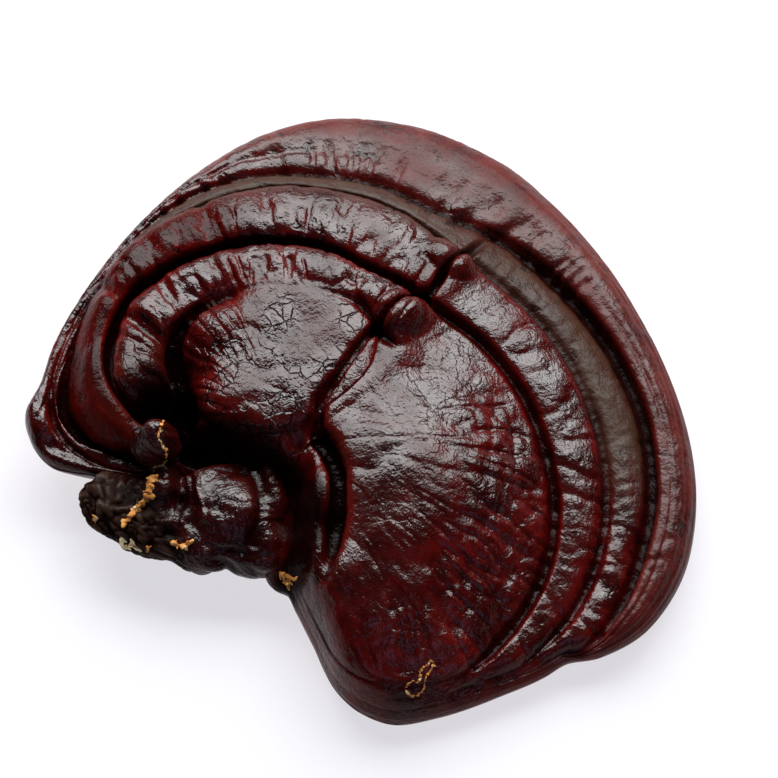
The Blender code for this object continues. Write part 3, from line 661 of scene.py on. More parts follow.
@dataclass(frozen=True)
class Area:
    """Part of the top, between two angles and two places across the zones.

    A place across the zones is the zone's number plus the share of its width.
    """

    start: float
    end: float
    inner: float
    outer: float
    fade: float = field(default=12.0, kw_only=True)    # degrees that its ends take to fade
    edge: float = field(default=0.5, kw_only=True)     # the same in places, for its two sides

    def weights(self, angles: np.ndarray, places: np.ndarray) -> np.ndarray:
        """How far angles counted from the notch and places across the zones lie inside it."""
        start, end = from_notch(np.array([self.start, self.end]))
        across = window(places, self.inner, self.outer, self.edge)
        return window(angles, start, end, self.fade) * across


@dataclass(frozen=True)
class Wrinkles(Area):
    """Wrinkles over an area.

    They run out along the radius, straight over the plan where they have a turn, or along the
    growth lines where they are ringed.
    """

    spacing: float
    length: float
    depth: float
    seed: int
    turn: float | None = None
    sharpness: float = 3.0
    ringed: bool = False

    def depths(self, angles: np.ndarray, places: np.ndarray, plan: np.ndarray) -> np.ndarray:
        """How deep the wrinkles go.

        Args:
            angles: angles counted from the notch.
            places: places across the zones.
            plan: plan points.

        Returns:
            A depth for each place.
        """
        if self.turn is None:
            across = np.radians(angles) * MIDDLE_DISTANCE
            along = places * ZONE_WIDTH if self.ringed else np.linalg.norm(plan, axis=1)
        else:
            c, s = math.cos(math.radians(self.turn)), math.sin(math.radians(self.turn))
            across = plan[:, 0] * c + plan[:, 1] * s + PLAN_REACH
            along = plan[:, 1] * c - plan[:, 0] * s + PLAN_REACH
        cut = grooves(across / self.spacing, along / self.length, self.seed, self.sharpness)
        return self.depth * self.weights(angles, places) * cut


@dataclass(frozen=True)
class Patch(Area):
    """An area where the crust has a patina, and how strong it is there."""

    strength: float = 1.0


# Wrinkles of the top: the fan, the zones right of it, the rim, the left ridges and the boss.
WRINKLES = (
    Wrinkles(-60, 108, 0.0, 1.9, 9.0, 13.0, 0.75, 11, turn=20.0, sharpness=1.5),
    Wrinkles(-60, 108, 0.0, 2.0, 2.8, 3.8, 0.24, 12, turn=65.0),
    Wrinkles(-10, 80, 0.9, 1.95, 3.2, 15.0, 0.8, 13, fade=24.0, edge=0.8),
    Wrinkles(-10, 80, 0.9, 2.0, 7.0, 2.6, 0.6, 34, fade=24.0, edge=0.6),
    Wrinkles(-10, 106, 1.6, 2.0, 2.1, 6.0, 0.12, 14, fade=14.0, edge=0.4),
    Wrinkles(-5, 112, 2.1, 2.9, 6.5, 16.0, 0.6, 15, fade=14.0, edge=0.35),
    Wrinkles(-5, 112, 2.25, 3.0, 2.0, 6.0, 0.28, 16, fade=14.0, edge=0.4),
    Wrinkles(0, 116, 2.9, 4.0, 1.6, 2.6, 0.4, 17, fade=14.0, edge=0.3),
    Wrinkles(0, 58, 3.1, 4.5, 2.2, 8.0, 0.55, 18, fade=18.0, edge=0.5),
    Wrinkles(20, 190, 4.25, 5.2, 60.0, 2.4, 0.75, 19, fade=20.0, edge=0.2, ringed=True),
    Wrinkles(0, 236, 4.2, 5.2, 1.7, 2.8, 0.3, 20, fade=14.0, edge=0.4),
    Wrinkles(114, 226, 1.1, 1.6, 3.2, 12.0, 0.9, 21, fade=6.0, edge=0.2),
    Wrinkles(114, 226, 1.05, 2.0, 1.8, 6.0, 0.4, 22, fade=6.0, edge=0.15),
    Wrinkles(114, 200, 2.0, 2.6, 3.4, 12.0, 0.9, 23, fade=6.0, edge=0.4),
    Wrinkles(114, 200, 2.0, 3.0, 1.8, 6.0, 0.4, 24, fade=6.0, edge=0.25),
    Wrinkles(196, 246, 2.0, 3.0, 2.6, 3.6, 0.16, 25, fade=10.0, turn=30.0),
    Wrinkles(112, 200, 3.0, 4.0, 1.9, 4.0, 0.3, 26, fade=10.0, edge=0.3),
    Wrinkles(96, 192, 3.95, 4.42, 2.4, 14.0, 1.1, 27, fade=12.0, edge=0.2),
    Wrinkles(176, 240, 3.2, 4.8, 30.0, 2.4, 0.5, 28, fade=14.0, edge=0.5),
    Wrinkles(112, 262, 0.0, 1.0, 7.0, 9.0, 0.4, 31, turn=140.0, sharpness=1.5),
    Wrinkles(112, 262, 0.0, 1.0, 2.6, 3.2, 0.2, 32, turn=50.0),
    Wrinkles(172, 238, 0.6, 1.1, 2.4, 12.0, 0.6, 33, fade=12.0, edge=0.2),
)


# Where the crust has its patinas. Patches of crinkled crust add up, and elsewhere the strongest
# patch of a kind counts.
PATCHES = {
    "new_growth": (Patch(40, 160, 4.5, 5.08, fade=40.0, edge=0.3),
                   Patch(0, 150, 4.1, 5.2, 0.6, fade=30.0, edge=0.3)),
    "spore_dust": (Patch(60, 122, 3.0, 3.95, fade=22.0, edge=0.3),
                   Patch(118, 190, 2.85, 3.95, fade=16.0, edge=0.25)),
    "dull": (Patch(200, 244, 1.95, 3.2, fade=14.0, edge=0.3),
             Patch(165, 208, 2.0, 3.2, 0.9, fade=16.0, edge=0.3)),
    "crackle": (Patch(118, 262, -1.0, 1.0, fade=8.0, edge=0.1),
                Patch(-60, 118, -1.0, 2.0, 0.35, fade=10.0, edge=0.4)),
    "crinkle": (Patch(108, 240, 1.05, 4.8, fade=8.0, edge=0.15),
                Patch(-60, 250, 4.7, 5.3, 0.5, fade=8.0, edge=0.3),
                Patch(-20, 108, 2.0, 4.8, 0.7, fade=8.0, edge=0.2),
                Patch(-30, 108, 0.7, 2.0, 0.35, fade=20.0, edge=0.4)),
}


@dataclass
class Cap:
    """The cap: ridged crust over the top and rim, and the pore side below."""

    growth: Growth = field(default_factory=Growth)
    spokes: int = FINE_SPOKES
    zone_rings: tuple = FINE_RINGS
    sole_rings: int = FINE_SOLE_RINGS
    bulge: float = 0.45          # how far relief is pushed out sideways, as a share of its height
    bulge_cells: int = 6         # half-width of the neighbourhood that relief is measured against
    bulge_most: float = 1.6
    still_rings: tuple = (6, 10)     # at the centre and the rim, over which the bulge fades out
    worn_relief: tuple = (0.3, 2.7)  # relief where wear begins and where it is full
    hollow_relief: float = 3.0   # depth of a sunk place that would be painted fully dark with shade
    hollow_most: float = 0.8     # most painted shade that relief alone gives
    shade_most: float = 0.85     # darkness along the path of shade
    shade_core: float = 1.5      # above 1 it keeps the middle of the path fully dark
    crust_share: float = 0.9     # of the outline's distance: the crust goes so far round below
    shade: tuple = ((-30, -22), (-16, -19), (-4, -9), (4, -5), (11, -4), (18, -8), (22, -14))
    shade_reach: float = 4.8     # about the path along which the crust stays black, by the stem

    def spoke_angles(self) -> np.ndarray:
        """Angles of the spokes, closest together where the outline runs towards the centre."""
        angles = NOTCH_ANGLE + np.arange(OUTLINE_SAMPLES + 1) * (360.0 / OUTLINE_SAMPLES)
        outline = on_circle(angles, around(self.growth.outline, angles)[:, 0])
        steps = np.linalg.norm(np.diff(outline, axis=0), axis=1)
        steps += SPOKE_SPREAD * np.radians(np.diff(angles))
        run = np.concatenate([[0.0], np.cumsum(steps)])
        return np.interp(np.arange(self.spokes + 1) * run[-1] / self.spokes, run, angles)

    def ring_places(self) -> list[float]:
        """Places across the zones of the rings on the top, from the centre to the outline."""
        places = []
        for zone, count in enumerate(self.zone_rings):
            shares = np.arange(count) / count
            if zone == len(self.zone_rings) - 1:
                shares = 1 - (1 - shares) ** EDGE_CROWDING
            places.extend(zone + shares)
        return [*places, float(len(self.zone_rings))]

    def top_rings(self, angles: np.ndarray) -> tuple[np.ndarray, np.ndarray]:
        """Shapes the top with its wrinkles.

        Args:
            angles: the spokes' angles.

        Returns:
            Points, a row of them for each ring, and the rings' places across the zones.
        """
        distances, _ = self.growth.growth_lines(angles)
        places = np.array(self.ring_places())
        zones = np.minimum(places.astype(int), len(self.zone_rings) - 1)
        away = np.array([
            distances[zone] + (distances[zone + 1] - distances[zone]) * (place - zone)
            for zone, place in zip(zones, places)
        ])
        across = np.repeat(places, len(angles))
        turned = np.tile(angles, len(places))
        plan = on_circle(turned, away.ravel())
        heights = self.growth.open_top(plan)
        for wrinkles in WRINKLES:
            heights -= wrinkles.depths(from_notch(turned), across, plan)
        heights = self.growth.rounded(plan, heights).reshape(len(places), len(angles))
        heights[0] = heights[0].mean()    # the growth centre is one point, to be closed there
        points = np.dstack([plan.reshape(len(places), len(angles), 2), heights])
        return points, places

    def smoothed(self, values: np.ndarray) -> np.ndarray:
        """Values averaged over the neighbourhood, round the cap and across it."""
        reach = range(-self.bulge_cells, self.bulge_cells + 1)
        for _ in range(2):
            values = sum(np.roll(values, step, axis=1) for step in reach) / len(reach)
            padded = np.pad(values, ((self.bulge_cells, self.bulge_cells), (0, 0)), mode="edge")
            values = sum(padded[self.bulge_cells + s:self.bulge_cells + s + len(values)] for s in reach)
            values = values / len(reach)
        return values

    def bulged(self, points: np.ndarray) -> tuple[np.ndarray, np.ndarray]:
        """Pushes ridges out over the creases beside them.

        Args:
            points: the top's points, a row of them for each ring, the last spoke on the first.

        Returns:
            The moved points, and the relief: how far each stands above its neighbourhood.
        """
        open_points = points[:, :-1]
        relief = open_points[..., 2] - self.smoothed(open_points[..., 2])
        along = np.roll(open_points, -1, axis=1) - np.roll(open_points, 1, axis=1)
        across = np.gradient(open_points, axis=0)
        normal = np.cross(across, along)
        normal /= np.maximum(np.linalg.norm(normal, axis=2, keepdims=True), 1e-9)
        fade = np.ones(len(points))
        inner, outer = self.still_rings
        fade[:inner] = np.linspace(0.0, 1.0, inner)
        fade[-outer:] = np.linspace(1.0, 0.0, outer)
        push = np.clip(relief * self.bulge, -self.bulge_most, self.bulge_most) * fade[:, None]
        moved = open_points.copy()
        moved[..., :2] += normal[..., :2] * push[..., None]
        closed = np.concatenate([moved, moved[:, :1]], axis=1)
        return closed, np.concatenate([relief, relief[:, :1]], axis=1)

    def sole_share(self, places: np.ndarray) -> np.ndarray:
        """Share of the outline's distance at places beyond the zones, which are on the sole."""
        return 1 - np.clip(places - len(self.zone_rings), 0.0, 1.0) ** EDGE_CROWDING

    def sole_points(self, angles: np.ndarray) -> np.ndarray:
        """Points of the sole, a row for each ring, from just inside the outline to the centre."""
        edge = around(self.growth.outline, angles)[:, 0]
        rings = []
        for step in range(1, self.sole_rings + 1):
            share = self.sole_share(len(self.zone_rings) + step / self.sole_rings)
            plan = on_circle(angles, edge * share)
            heights = self.growth.rounded(plan, self.growth.open_sole(plan))
            rings.append(np.column_stack([plan, heights]))
        return np.array(rings)

    def skin(self) -> bpy.types.Mesh:
        """Bends a grid into the cap's closed skin.

        Returns:
            The mesh, with its map of the growth, its patina and its painted shade as attributes.
        """
        angles = self.spoke_angles()
        top, places = self.top_rings(angles)
        top, relief = self.bulged(top)
        points = np.concatenate([top, self.sole_points(angles)])
        rows = len(points)
        bm = bmesh.new()
        bm.loops.layers.uv.new("growth")
        bmesh.ops.create_grid(bm, x_segments=self.spokes, y_segments=rows - 1, size=1.0, calc_uvs=True)
        mesh = mesh_of("cap", bm)
        flat = read(mesh, "co")
        i = np.rint((flat[:, 0] + 1) / 2 * self.spokes).astype(int)
        j = np.rint((flat[:, 1] + 1) / 2 * (rows - 1)).astype(int)
        mesh.vertices.foreach_set("co", (points[j, i] * MM).ravel())
        below = len(self.zone_rings) + np.arange(1, self.sole_rings + 1) / self.sole_rings
        spread = np.concatenate([places, below])
        whole_relief = np.concatenate([relief, np.zeros((self.sole_rings, relief.shape[1]))])
        self.paint(mesh, angles[i], spread[j], whole_relief[j, i], points[j, i, :2])
        self.close(mesh)
        return mesh

    def paint(self, mesh: bpy.types.Mesh, angles: np.ndarray, places: np.ndarray,
              relief: np.ndarray, plan: np.ndarray) -> None:
        """Stores where the crust has its patinas and its painted shade, as attributes.

        Args:
            mesh: the cap's mesh.
            angles: each vertex's angle.
            places: its place across the zones.
            relief: how far it stands above its neighbourhood.
            plan: its plan point.
        """
        turned = from_notch(angles)
        patina = {}
        for kind, patches in PATCHES.items():
            found = [patch.strength * patch.weights(turned, places) for patch in patches]
            joined = np.sum(found, axis=0) if kind == "crinkle" else np.max(found, axis=0)
            patina[kind] = np.clip(joined, 0.0, 1.0)
        worn, full = self.worn_relief
        patina["worn"] = np.clip((relief - worn) / (full - worn), 0.0, 1.0)
        # painted shade: darker the deeper a place on the top lies below its neighbourhood, and black
        # along the path by the stem
        away, _ = path_reach(plan, self.shade)
        shade = self.shade_most * np.clip(self.shade_core - away / self.shade_reach, 0.0, 1.0)
        sunk = np.clip(-relief / self.hollow_relief, 0.0, self.hollow_most)
        patina["painted_shade"] = np.maximum(sunk * (places < len(self.zone_rings)), shade)
        patina["under"] = self.sole_share(places) < self.crust_share
        store(mesh, patina)

    def close(self, mesh: bpy.types.Mesh) -> None:
        """Closes the seam and the two centres, and gives each face its finish."""
        turn_outwards(mesh, merge=MERGE_DISTANCE)
        under = np.array([entry.value for entry in mesh.attributes["under"].data])
        for face in mesh.polygons:
            below = under[list(face.vertices)].min() > 0
            face.material_index = (Layer.PORES if below else Layer.CRUST).value

    def build(self) -> bpy.types.Object:
        """Makes the cap in place of its solid."""
        cap = link("cap_skin", self.skin())
        mark_level_parts(cap.data)
        cap.data.materials.append(Crust().material())
        cap.data.materials.append(PoreLayer().material())
        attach(cap, "root")
        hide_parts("cap")
        return cap


@dataclass(frozen=True)
class Fold:
    """A fold of the stem along a line of the photograph, raised or, below 0, sunk."""

    pixels: tuple
    height: float
    half_width: float


# Folds of the stem: hollows between its lumps, stretch folds down its neck, and a creased edge.
STEM_FOLDS = (
    Fold(((181, 468), (181, 500), (176, 532)), -1.5, 1.8),
    Fold(((163, 508), (152, 522), (168, 536)), -1.4, 2.2),
    Fold(((258, 468), (262, 505), (254, 545)), -1.2, 1.4),
    Fold(((191, 478), (193, 500), (193, 522)), -0.6, 1.1),
    Fold(((187, 476), (189, 490), (186, 505), (182, 522)), 0.7, 0.5),
    Fold(((195, 474), (198, 490), (202, 505), (204, 519)), 0.6, 0.4),
    Fold(((205, 545), (235, 553), (270, 556)), -0.6, 0.7),
    Fold(((208, 478), (222, 470), (246, 472)), -0.5, 0.8),
)


@dataclass
class Stem:
    """The stem: gnarled masses fused into one, with its knob, knuckle, fin and ridge."""

    view: View
    masses: tuple = STEM_MASSES
    knob: tuple = STEM_KNOB
    knuckle: tuple = STEM_KNUCKLE
    neck: tuple = STEM_NECK
    rows: tuple = ((STEM_FIN, STEM_FIN_RADIUS), (STEM_RIDGE, STEM_RIDGE_RADIUS))
    voxel: float = 0.48
    smoothing: int = 9
    ripple_pixel: tuple = (236.0, 516.0)
    ripple_reach: float = 3.2
    ripple_spacing: float = 1.2
    ripple_depth: float = 0.16
    ripple_lean: float = 0.3         # of the ripples' run, upwards in the photograph
    foot: tuple = (-60.0, -33.0, 6.0)    # from and to which y the foot is rough, and the fade
    lumps: tuple = (4.0, 3.0, 1.0)   # size over the plan, size in height, and how far they move
    crumbs: tuple = (1.7, 1.9, 0.8)  # spacing, length and depth of the foot's crumbs
    dents: tuple = (2.6, 4.5, 0.35)  # the same of the dents all over
    dent_lean: float = 0.7           # how the dents run with height
    crumb_shade: float = 0.7         # darkness between crumbs
    relief_shade: float = 0.2        # darkness for each millimetre that a place is sunk
    seed: int = 41                   # of the lumps; crumbs and dents have the next two
    crinkled: float = 0.5            # strength of the crinkled patina
    crackled: float = 0.3            # strength of the crackled patina

    def add_mass(self, bm: bmesh.types.BMesh, shape: tuple) -> None:
        """Adds one rounded mass."""
        x, y, z, along, across, high, turn = shape
        made = bmesh.ops.create_icosphere(bm, subdivisions=4, radius=MM)
        place = Matrix.Translation(Vector((x, y, z)) * MM) @ Matrix.Rotation(math.radians(turn), 4, "Z")
        stretch = Matrix.Diagonal((along, across, high, 1.0))
        bmesh.ops.transform(bm, matrix=place @ stretch, verts=made["verts"])

    def fused(self) -> bpy.types.Object:
        """Fuses the masses on a fine grid and smooths them.

        Returns:
            The stem's object, with its modifiers applied.
        """
        bm = bmesh.new()
        for shape in (*self.masses, self.knob, self.knuckle, self.neck):
            self.add_mass(bm, shape)
        for path, radius in self.rows:
            for start, end in zip(path[:-1], path[1:]):
                for t in FIN_STEPS:
                    x, y, z = (a + (b - a) * t for a, b in zip(start, end))
                    self.add_mass(bm, (x, y, z, radius, radius, radius, 0.0))
        return fuse("stem_skin", bm, self.voxel, self.smoothing)

    def carve(self, stem: bpy.types.Object) -> None:
        """Moves the surface in and out: folds, ripples, gentle lumps and a rough foot.

        Args:
            stem: the fused stem.
        """
        mesh = stem.data
        tree = surface_of(stem)
        places, normals = read(mesh, "co") / MM, read(mesh, "normal")
        x, y, z = places.T
        foot = window(y, *self.foot)
        wide, high, move = self.lumps
        u, v = NOISE_START + x / wide, NOISE_START + y / wide + z / high
        lumps = (smooth_noise(u, v, self.seed) - 0.5) * move
        spacing, length, depth = self.crumbs
        u, v = NOISE_START + x / spacing, NOISE_START + (y + z) / length
        crumbs = grooves(u, v, self.seed + 1, sharpness=2.0) * depth * foot
        spacing, length, depth = self.dents
        u, v = NOISE_START + x / spacing, NOISE_START + (y + self.dent_lean * z) / length
        dents = grooves(u, v, self.seed + 2) * depth
        out = lumps - crumbs - dents
        for fold in STEM_FOLDS:
            seen = [self.view.meets(tree, pixel) for pixel in fold.pixels]
            path = tuple(tuple(place) for place in seen if place is not None)
            away, _ = path_reach(places, path)
            out += fold.height * np.exp(-((away / fold.half_width) ** 2))
        centre = np.array(self.view.meets(tree, self.ripple_pixel))
        right, up, _ = self.view.axes()
        along = (places - centre) @ np.array(right + self.ripple_lean * up)
        near = np.exp(-((np.linalg.norm(places - centre, axis=1) / self.ripple_reach) ** 4))
        out += self.ripple_depth * near * np.sin(along * (2 * math.pi / self.ripple_spacing))
        places += normals * out[:, None]
        mesh.vertices.foreach_set("co", (places * MM).ravel())
        # painted shade: darker between the crumbs, in the dents and where the surface is sunk
        sunk = self.crumb_shade * crumbs + dents - out * self.relief_shade
        store(mesh, {
            "painted_shade": np.clip(sunk, 0.0, 1.0),
            "worn": np.clip(out, 0.0, 1.0),
            "crinkle": np.full(len(out), self.crinkled),
            "crackle": np.full(len(out), self.crackled),
            "spore_dust": foot,
            "growth": np.column_stack([x + z, y, z]),
        })
        mark_level_parts(mesh)

    def build(self) -> bpy.types.Object:
        """Makes the stem in place of its solid."""
        stem = self.fused()
        self.carve(stem)
        turn_outwards(stem.data)
        stem.data.materials.append(Crust(name="lacquered stem crust", base="#3a0b09").material())
        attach(stem, "root")
        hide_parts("stem")
        return stem


@dataclass(frozen=True)
class Tear:
    """Torn crust where the dry flesh shows: a ragged bead along lines of the photograph."""

    name: str
    slot: str
    lines: tuple
    width: float
    seed: int
    cream: float = 0.3           # share of cream flesh among the ochre
    ragged: float = 0.6          # how much the width varies
    step: float = 0.8            # pixels between its crumbs
    scatter: float = 0.22        # how far crumbs lie off the line, as a share of the width
    grid_share: float = 7.0      # cells of the fusing grid across the width
    grid_least: float = 0.09
    thinnest: tuple = (0.8, 0.4, 0.35)   # least and most length, width and height of a crumb, as
    thickest: tuple = (2.4, 1.1, 1.0)    # shares of the width there

    def build(self, view: View, surface: BVHTree) -> bpy.types.Object:
        """Lays the crumbs on the surface and fuses them.

        Args:
            view: the photograph's view.
            surface: what carries the tear.

        Returns:
            The tear.
        """
        rng = np.random.default_rng(self.seed)
        bm = bmesh.new()
        for line in self.lines:
            for start, end in zip(line[:-1], line[1:]):
                steps = max(1, round(math.dist(start, end) / self.step))
                seen = [
                    view.meets(surface, [a + (b - a) * k / steps for a, b in zip(start, end)])
                    for k in range(steps + 1)
                ]
                for place, onward in zip(seen[:-1], seen[1:]):
                    size = self.width / 2 * (1 + self.ragged * rng.uniform(-1.0, 1.0))
                    stretch = rng.uniform(self.thinnest, self.thickest) * size
                    aside = Vector(rng.normal(0.0, self.width * self.scatter, 3))
                    if place is None or onward is None:
                        continue
                    turn = (onward - place + aside).to_track_quat("X", "Z").to_matrix().to_4x4()
                    turn = turn @ Matrix.Diagonal((*stretch, 1.0))
                    made = bmesh.ops.create_icosphere(bm, subdivisions=2, radius=MM)
                    matrix = Matrix.Translation((place + aside) * MM) @ turn
                    bmesh.ops.transform(bm, matrix=matrix, verts=made["verts"])
        tear = fuse(self.name, bm, max(self.grid_least, self.width / self.grid_share), 1)
        tear.data.shade_smooth()
        tear.data.materials.append(TornFlesh(cream=self.cream).material())
        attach(tear, "root")
        return tear


# Tears, by the lines of the photograph that they follow.
TEARS = (
    Tear("knob_tear", "stem_crust", (
        ((164.3, 419.3), (161.4, 425.7), (158.6, 432.9), (159.3, 438.6), (162.9, 445.7),
         (166.4, 452.9), (167.1, 460.0), (162.1, 465.7), (153.6, 467.1)),
    ), 0.5, 61),
    Tear("fin_tear", "stem_crust", (
        ((154.3, 477.1), (150.7, 480.0), (148.6, 488.6), (146.4, 497.0), (140.7, 504.3),
         (133.6, 511.4), (127.1, 520.0), (122.9, 523.3)),
    ), 1.0, 62, cream=0.15),
    Tear("foot_crumbs", "stem_crust", (
        ((93.8, 516.5), (95.8, 523.5)), ((103.8, 535.0), (107.5, 539.0), (112.5, 543.0)),
        ((147.5, 551.0), (149.2, 546.0)),
        ((171.7, 542.5), (178.3, 545.4), (185.0, 545.4), (190.8, 542.5)),
    ), 0.8, 63, cream=0.2),
    Tear("foot_flesh", "stem_crust", (
        ((122.1, 538.3), (121.7, 544.0), (125.0, 547.0), (130.0, 545.4), (133.3, 539.2)),
        ((133.0, 545.0), (140.8, 549.0)),
    ), 0.9, 64, cream=0.9),
    Tear("fan_scar", "cap_crust", (
        ((430.0, 659.5), (433.5, 663.0), (432.0, 668.0), (429.5, 672.0), (426.0, 676.5),
         (424.5, 682.0), (424.0, 688.0), (421.0, 692.0), (416.5, 695.5), (411.5, 696.0),
         (407.0, 693.0), (405.0, 688.0), (408.0, 683.5), (413.0, 681.0), (417.5, 682.5),
         (420.0, 679.0), (420.5, 672.0), (423.5, 667.0), (428.0, 665.0), (430.0, 659.5)),
    ), 0.42, 65, cream=0.2),
    Tear("notch_tear", "cap_crust", (
        ((281.0, 574.0), (289.0, 577.0), (297.0, 580.0)),
        ((283.0, 577.0), (287.0, 583.0), (290.0, 589.0)), ((288.0, 580.0), (292.0, 584.0)),
    ), 0.8, 66, cream=0.1),
)


def per_metre(size: float) -> float:
    """Scale of a pattern whose cells have a size in millimetres."""
    return 1 / (size * MM)


def fill(tree: bpy.types.NodeTree, node: bpy.types.Node, inputs: dict) -> None:
    """Gives a node's inputs their values, or links them where a value is a socket or a node."""
    for name, value in inputs.items():
        if isinstance(value, bpy.types.Node):
            value = value.outputs[0]
        if isinstance(value, bpy.types.NodeSocket):
            tree.links.new(value, node.inputs[name])
        else:
            node.inputs[name].default_value = value


def add(tree: bpy.types.NodeTree, kind: str, inputs: dict, **settings: object) -> bpy.types.Node:
    """Adds a node with its settings and links.

    Args:
        tree: the material's nodes.
        kind: the node's type, without the ShaderNode that each begins with.
        inputs: values, or nodes or sockets to link from, by the input's name or number.
        settings: the node's own settings.

    Returns:
        The node.
    """
    node = tree.nodes.new("ShaderNode" + kind)
    for name, value in settings.items():
        setattr(node, name, value)
    fill(tree, node, inputs)
    return node


def blank_material(name: str) -> tuple[bpy.types.Material, bpy.types.NodeTree, bpy.types.Node]:
    """Makes a material, and gives it with its nodes and its shader."""
    material = bpy.data.materials.new(name)
    material.use_nodes = True
    return material, material.node_tree, material.node_tree.nodes["Principled BSDF"]


@dataclass(frozen=True)
class Ramp:
    """A share that follows a patina or a noise between two of its values."""

    source: str
    low: float = 0.0
    high: float = 1.0
    start: float = 0.0           # the share at the low value and beyond it
    end: float = 1.0             # the share at the high value and beyond it

    def inputs(self, found: dict) -> dict:
        """Inputs of a node that maps ranges, with the source taken from what was found."""
        return dict(enumerate((found[self.source], self.low, self.high, self.start, self.end)))


@dataclass(frozen=True)
class Crust:
    """Reishi crust: a thin natural lacquer over dry wrinkled fungus, glossy and nearly black-red.

    It reads the patina and the painted shade that a piece stores as attributes.
    """

    name: str = "lacquered reishi crust"
    base: str = "#580805"
    deep: str = "#2c0403"
    # painted shade: the darker colour of level tops
    level: str = "#200807"
    worn: str = "#4c140e"
    new_growth: str = "#5a1f19"
    spore_dust: str = "#3c2a1e"
    # painted shade, laid into creases, sunk places and the fold by the stem; the cracks are drawn in
    # this dark too
    painted_shade: str = "#0c0202"
    mottle_mm: float = 11.1111   # size of the mottle's cells
    patch_mm: float = 14.2857    # the same of the lacquer's thick and thin patches
    thick: Ramp = Ramp("thickness", 0.4, 0.55)
    base_share: Ramp = Ramp("mottle", 0.38, 0.62)
    blotches: Ramp = Ramp("mottle", 0.35, 0.6, 0.35, 1.0)    # of spore dust and new growth
    worn_share: Ramp = Ramp("worn", 0.15, 1.0, 0.0, 0.7)
    level_shade_share: Ramp = Ramp("level", 0.86, 0.98, 0.0, 0.75)
    painted_shade_share: Ramp = Ramp("painted_shade", 0.0, 0.8, 0.0, 0.95)
    ior: float = 1.5
    # The lacquer is thin and dusty, so it mirrors less than a full coat, and least where shade is
    # painted.
    shine: Ramp = Ramp("painted_shade", 0.15, 0.6, 0.48, 0.08)
    # What is left of that on steep flanks, under dust, on new growth, where it is worn dull, and
    # where the lacquer is thin or thick.
    shine_shares: tuple = (
        Ramp("level", 0.55, 0.92, 0.3, 1.0), Ramp("spore_dust", start=1.0, end=0.45),
        Ramp("new_growth", start=1.0, end=0.4), Ramp("dull", start=1.0, end=0.22),
        Ramp("thick", start=0.68, end=1.06),
    )
    roughness: Ramp = Ramp("mottle", 0.3, 0.7, 0.14, 0.3)
    dryness: float = 0.22        # added to the roughness where the crust is young or dusty
    # Fine wrinkles and growth lines: width or spacing, length and depth. The stem's growth is
    # in mm. The cap's is a map from 0 to 1 each way, so there they swell their patches instead.
    crinkle: tuple = (1.2, 5.0, 0.34)
    rings: tuple = (1.5, 40.0, 0.5)
    grain: tuple = (1.1, 0.2)            # size and depth of the crust's pads, mm
    speckle: tuple = (0.45, 0.08)        # size and depth of the crust's own roughness, mm
    crack_mm: float = 3.6                # between the cracks of a flat part
    crack_depth: float = 0.15            # mm
    crack_width: float = 0.07            # as a share of the way between cracks
    crack_cells: float = 0.5             # of the wrinkles' cracks to a wrinkle
    sway: float = 0.9                    # how far cracks bend, as a share of the way between them
    sway_mm: float = 3.84615             # size of the bends

    def read_patina(self, tree: bpy.types.NodeTree) -> dict:
        """Adds the patinas, the painted shade, the places and the two noises that the finish is made
        from.

        Args:
            tree: the material's nodes.

        Returns:
            Nodes and sockets by name.
        """
        place = add(tree, "TexCoord", {}).outputs["Object"]
        growth = add(tree, "Attribute", {}, attribute_name="growth").outputs["Vector"]
        width, length, _ = self.crinkle
        found = {
            "place": place,
            "growth": growth,
            "along": add(tree, "VectorMath", {0: growth, 1: (1 / width, 1 / length, 0.0)},
                         operation="MULTIPLY"),
            "mottle": add(tree, "TexNoise", {"Vector": place, "Detail": 6.0, "Roughness": 0.65,
                                             "Scale": per_metre(self.mottle_mm)}),
            "thickness": add(tree, "TexNoise", {"Vector": place, "Detail": 3.0,
                                                "Scale": per_metre(self.patch_mm)}),
        }
        for kind in (*PATCHES, "level", "worn", "painted_shade"):
            found[kind] = add(tree, "Attribute", {}, attribute_name=kind).outputs["Fac"]
        found["thick"] = add(tree, "MapRange", self.thick.inputs(found))
        found["cracks"] = self.cracks(tree, found)
        return found

    def cracks(self, tree: bpy.types.NodeTree, found: dict) -> bpy.types.Node:
        """Adds the cracks of flat crust and of crinkled crust, where the lacquer is thick."""
        sway = add(tree, "TexNoise", {"Vector": found["place"], "Detail": 2.0,
                                      "Scale": per_metre(self.sway_mm)}).outputs[1]
        lines = []
        for kind, source, scale in (("crackle", "place", per_metre(self.crack_mm)),
                                    ("crinkle", "along", self.crack_cells)):
            bent = add(tree, "VectorMath", {0: sway, 1: (self.sway / scale,) * 3, 2: found[source]},
                       operation="MULTIPLY_ADD")
            edge = add(tree, "TexVoronoi", {"Vector": bent, "Scale": scale},
                       feature="DISTANCE_TO_EDGE")
            line = add(tree, "MapRange", {0: edge, 1: 0.0, 2: self.crack_width, 3: 1.0, 4: 0.0})
            for share in (found[kind], found["thick"]):
                line = add(tree, "Math", {0: line, 1: share}, operation="MULTIPLY")
            lines.append(line)
        return add(tree, "Math", dict(enumerate(lines)), operation="MAXIMUM")

    def colour(self, tree: bpy.types.NodeTree, found: dict) -> bpy.types.NodeSocket:
        """Adds the colours, each laid over those before it."""
        base, blotches, worn, level, painted_shade = (
            add(tree, "MapRange", ramp.inputs(found))
            for ramp in (self.base_share, self.blotches, self.worn_share, self.level_shade_share,
                         self.painted_shade_share)
        )
        dust, young = (
            add(tree, "Math", {0: blotches, 1: found[kind]}, operation="MULTIPLY")
            for kind in ("spore_dust", "new_growth")
        )
        colour = linear(self.deep)
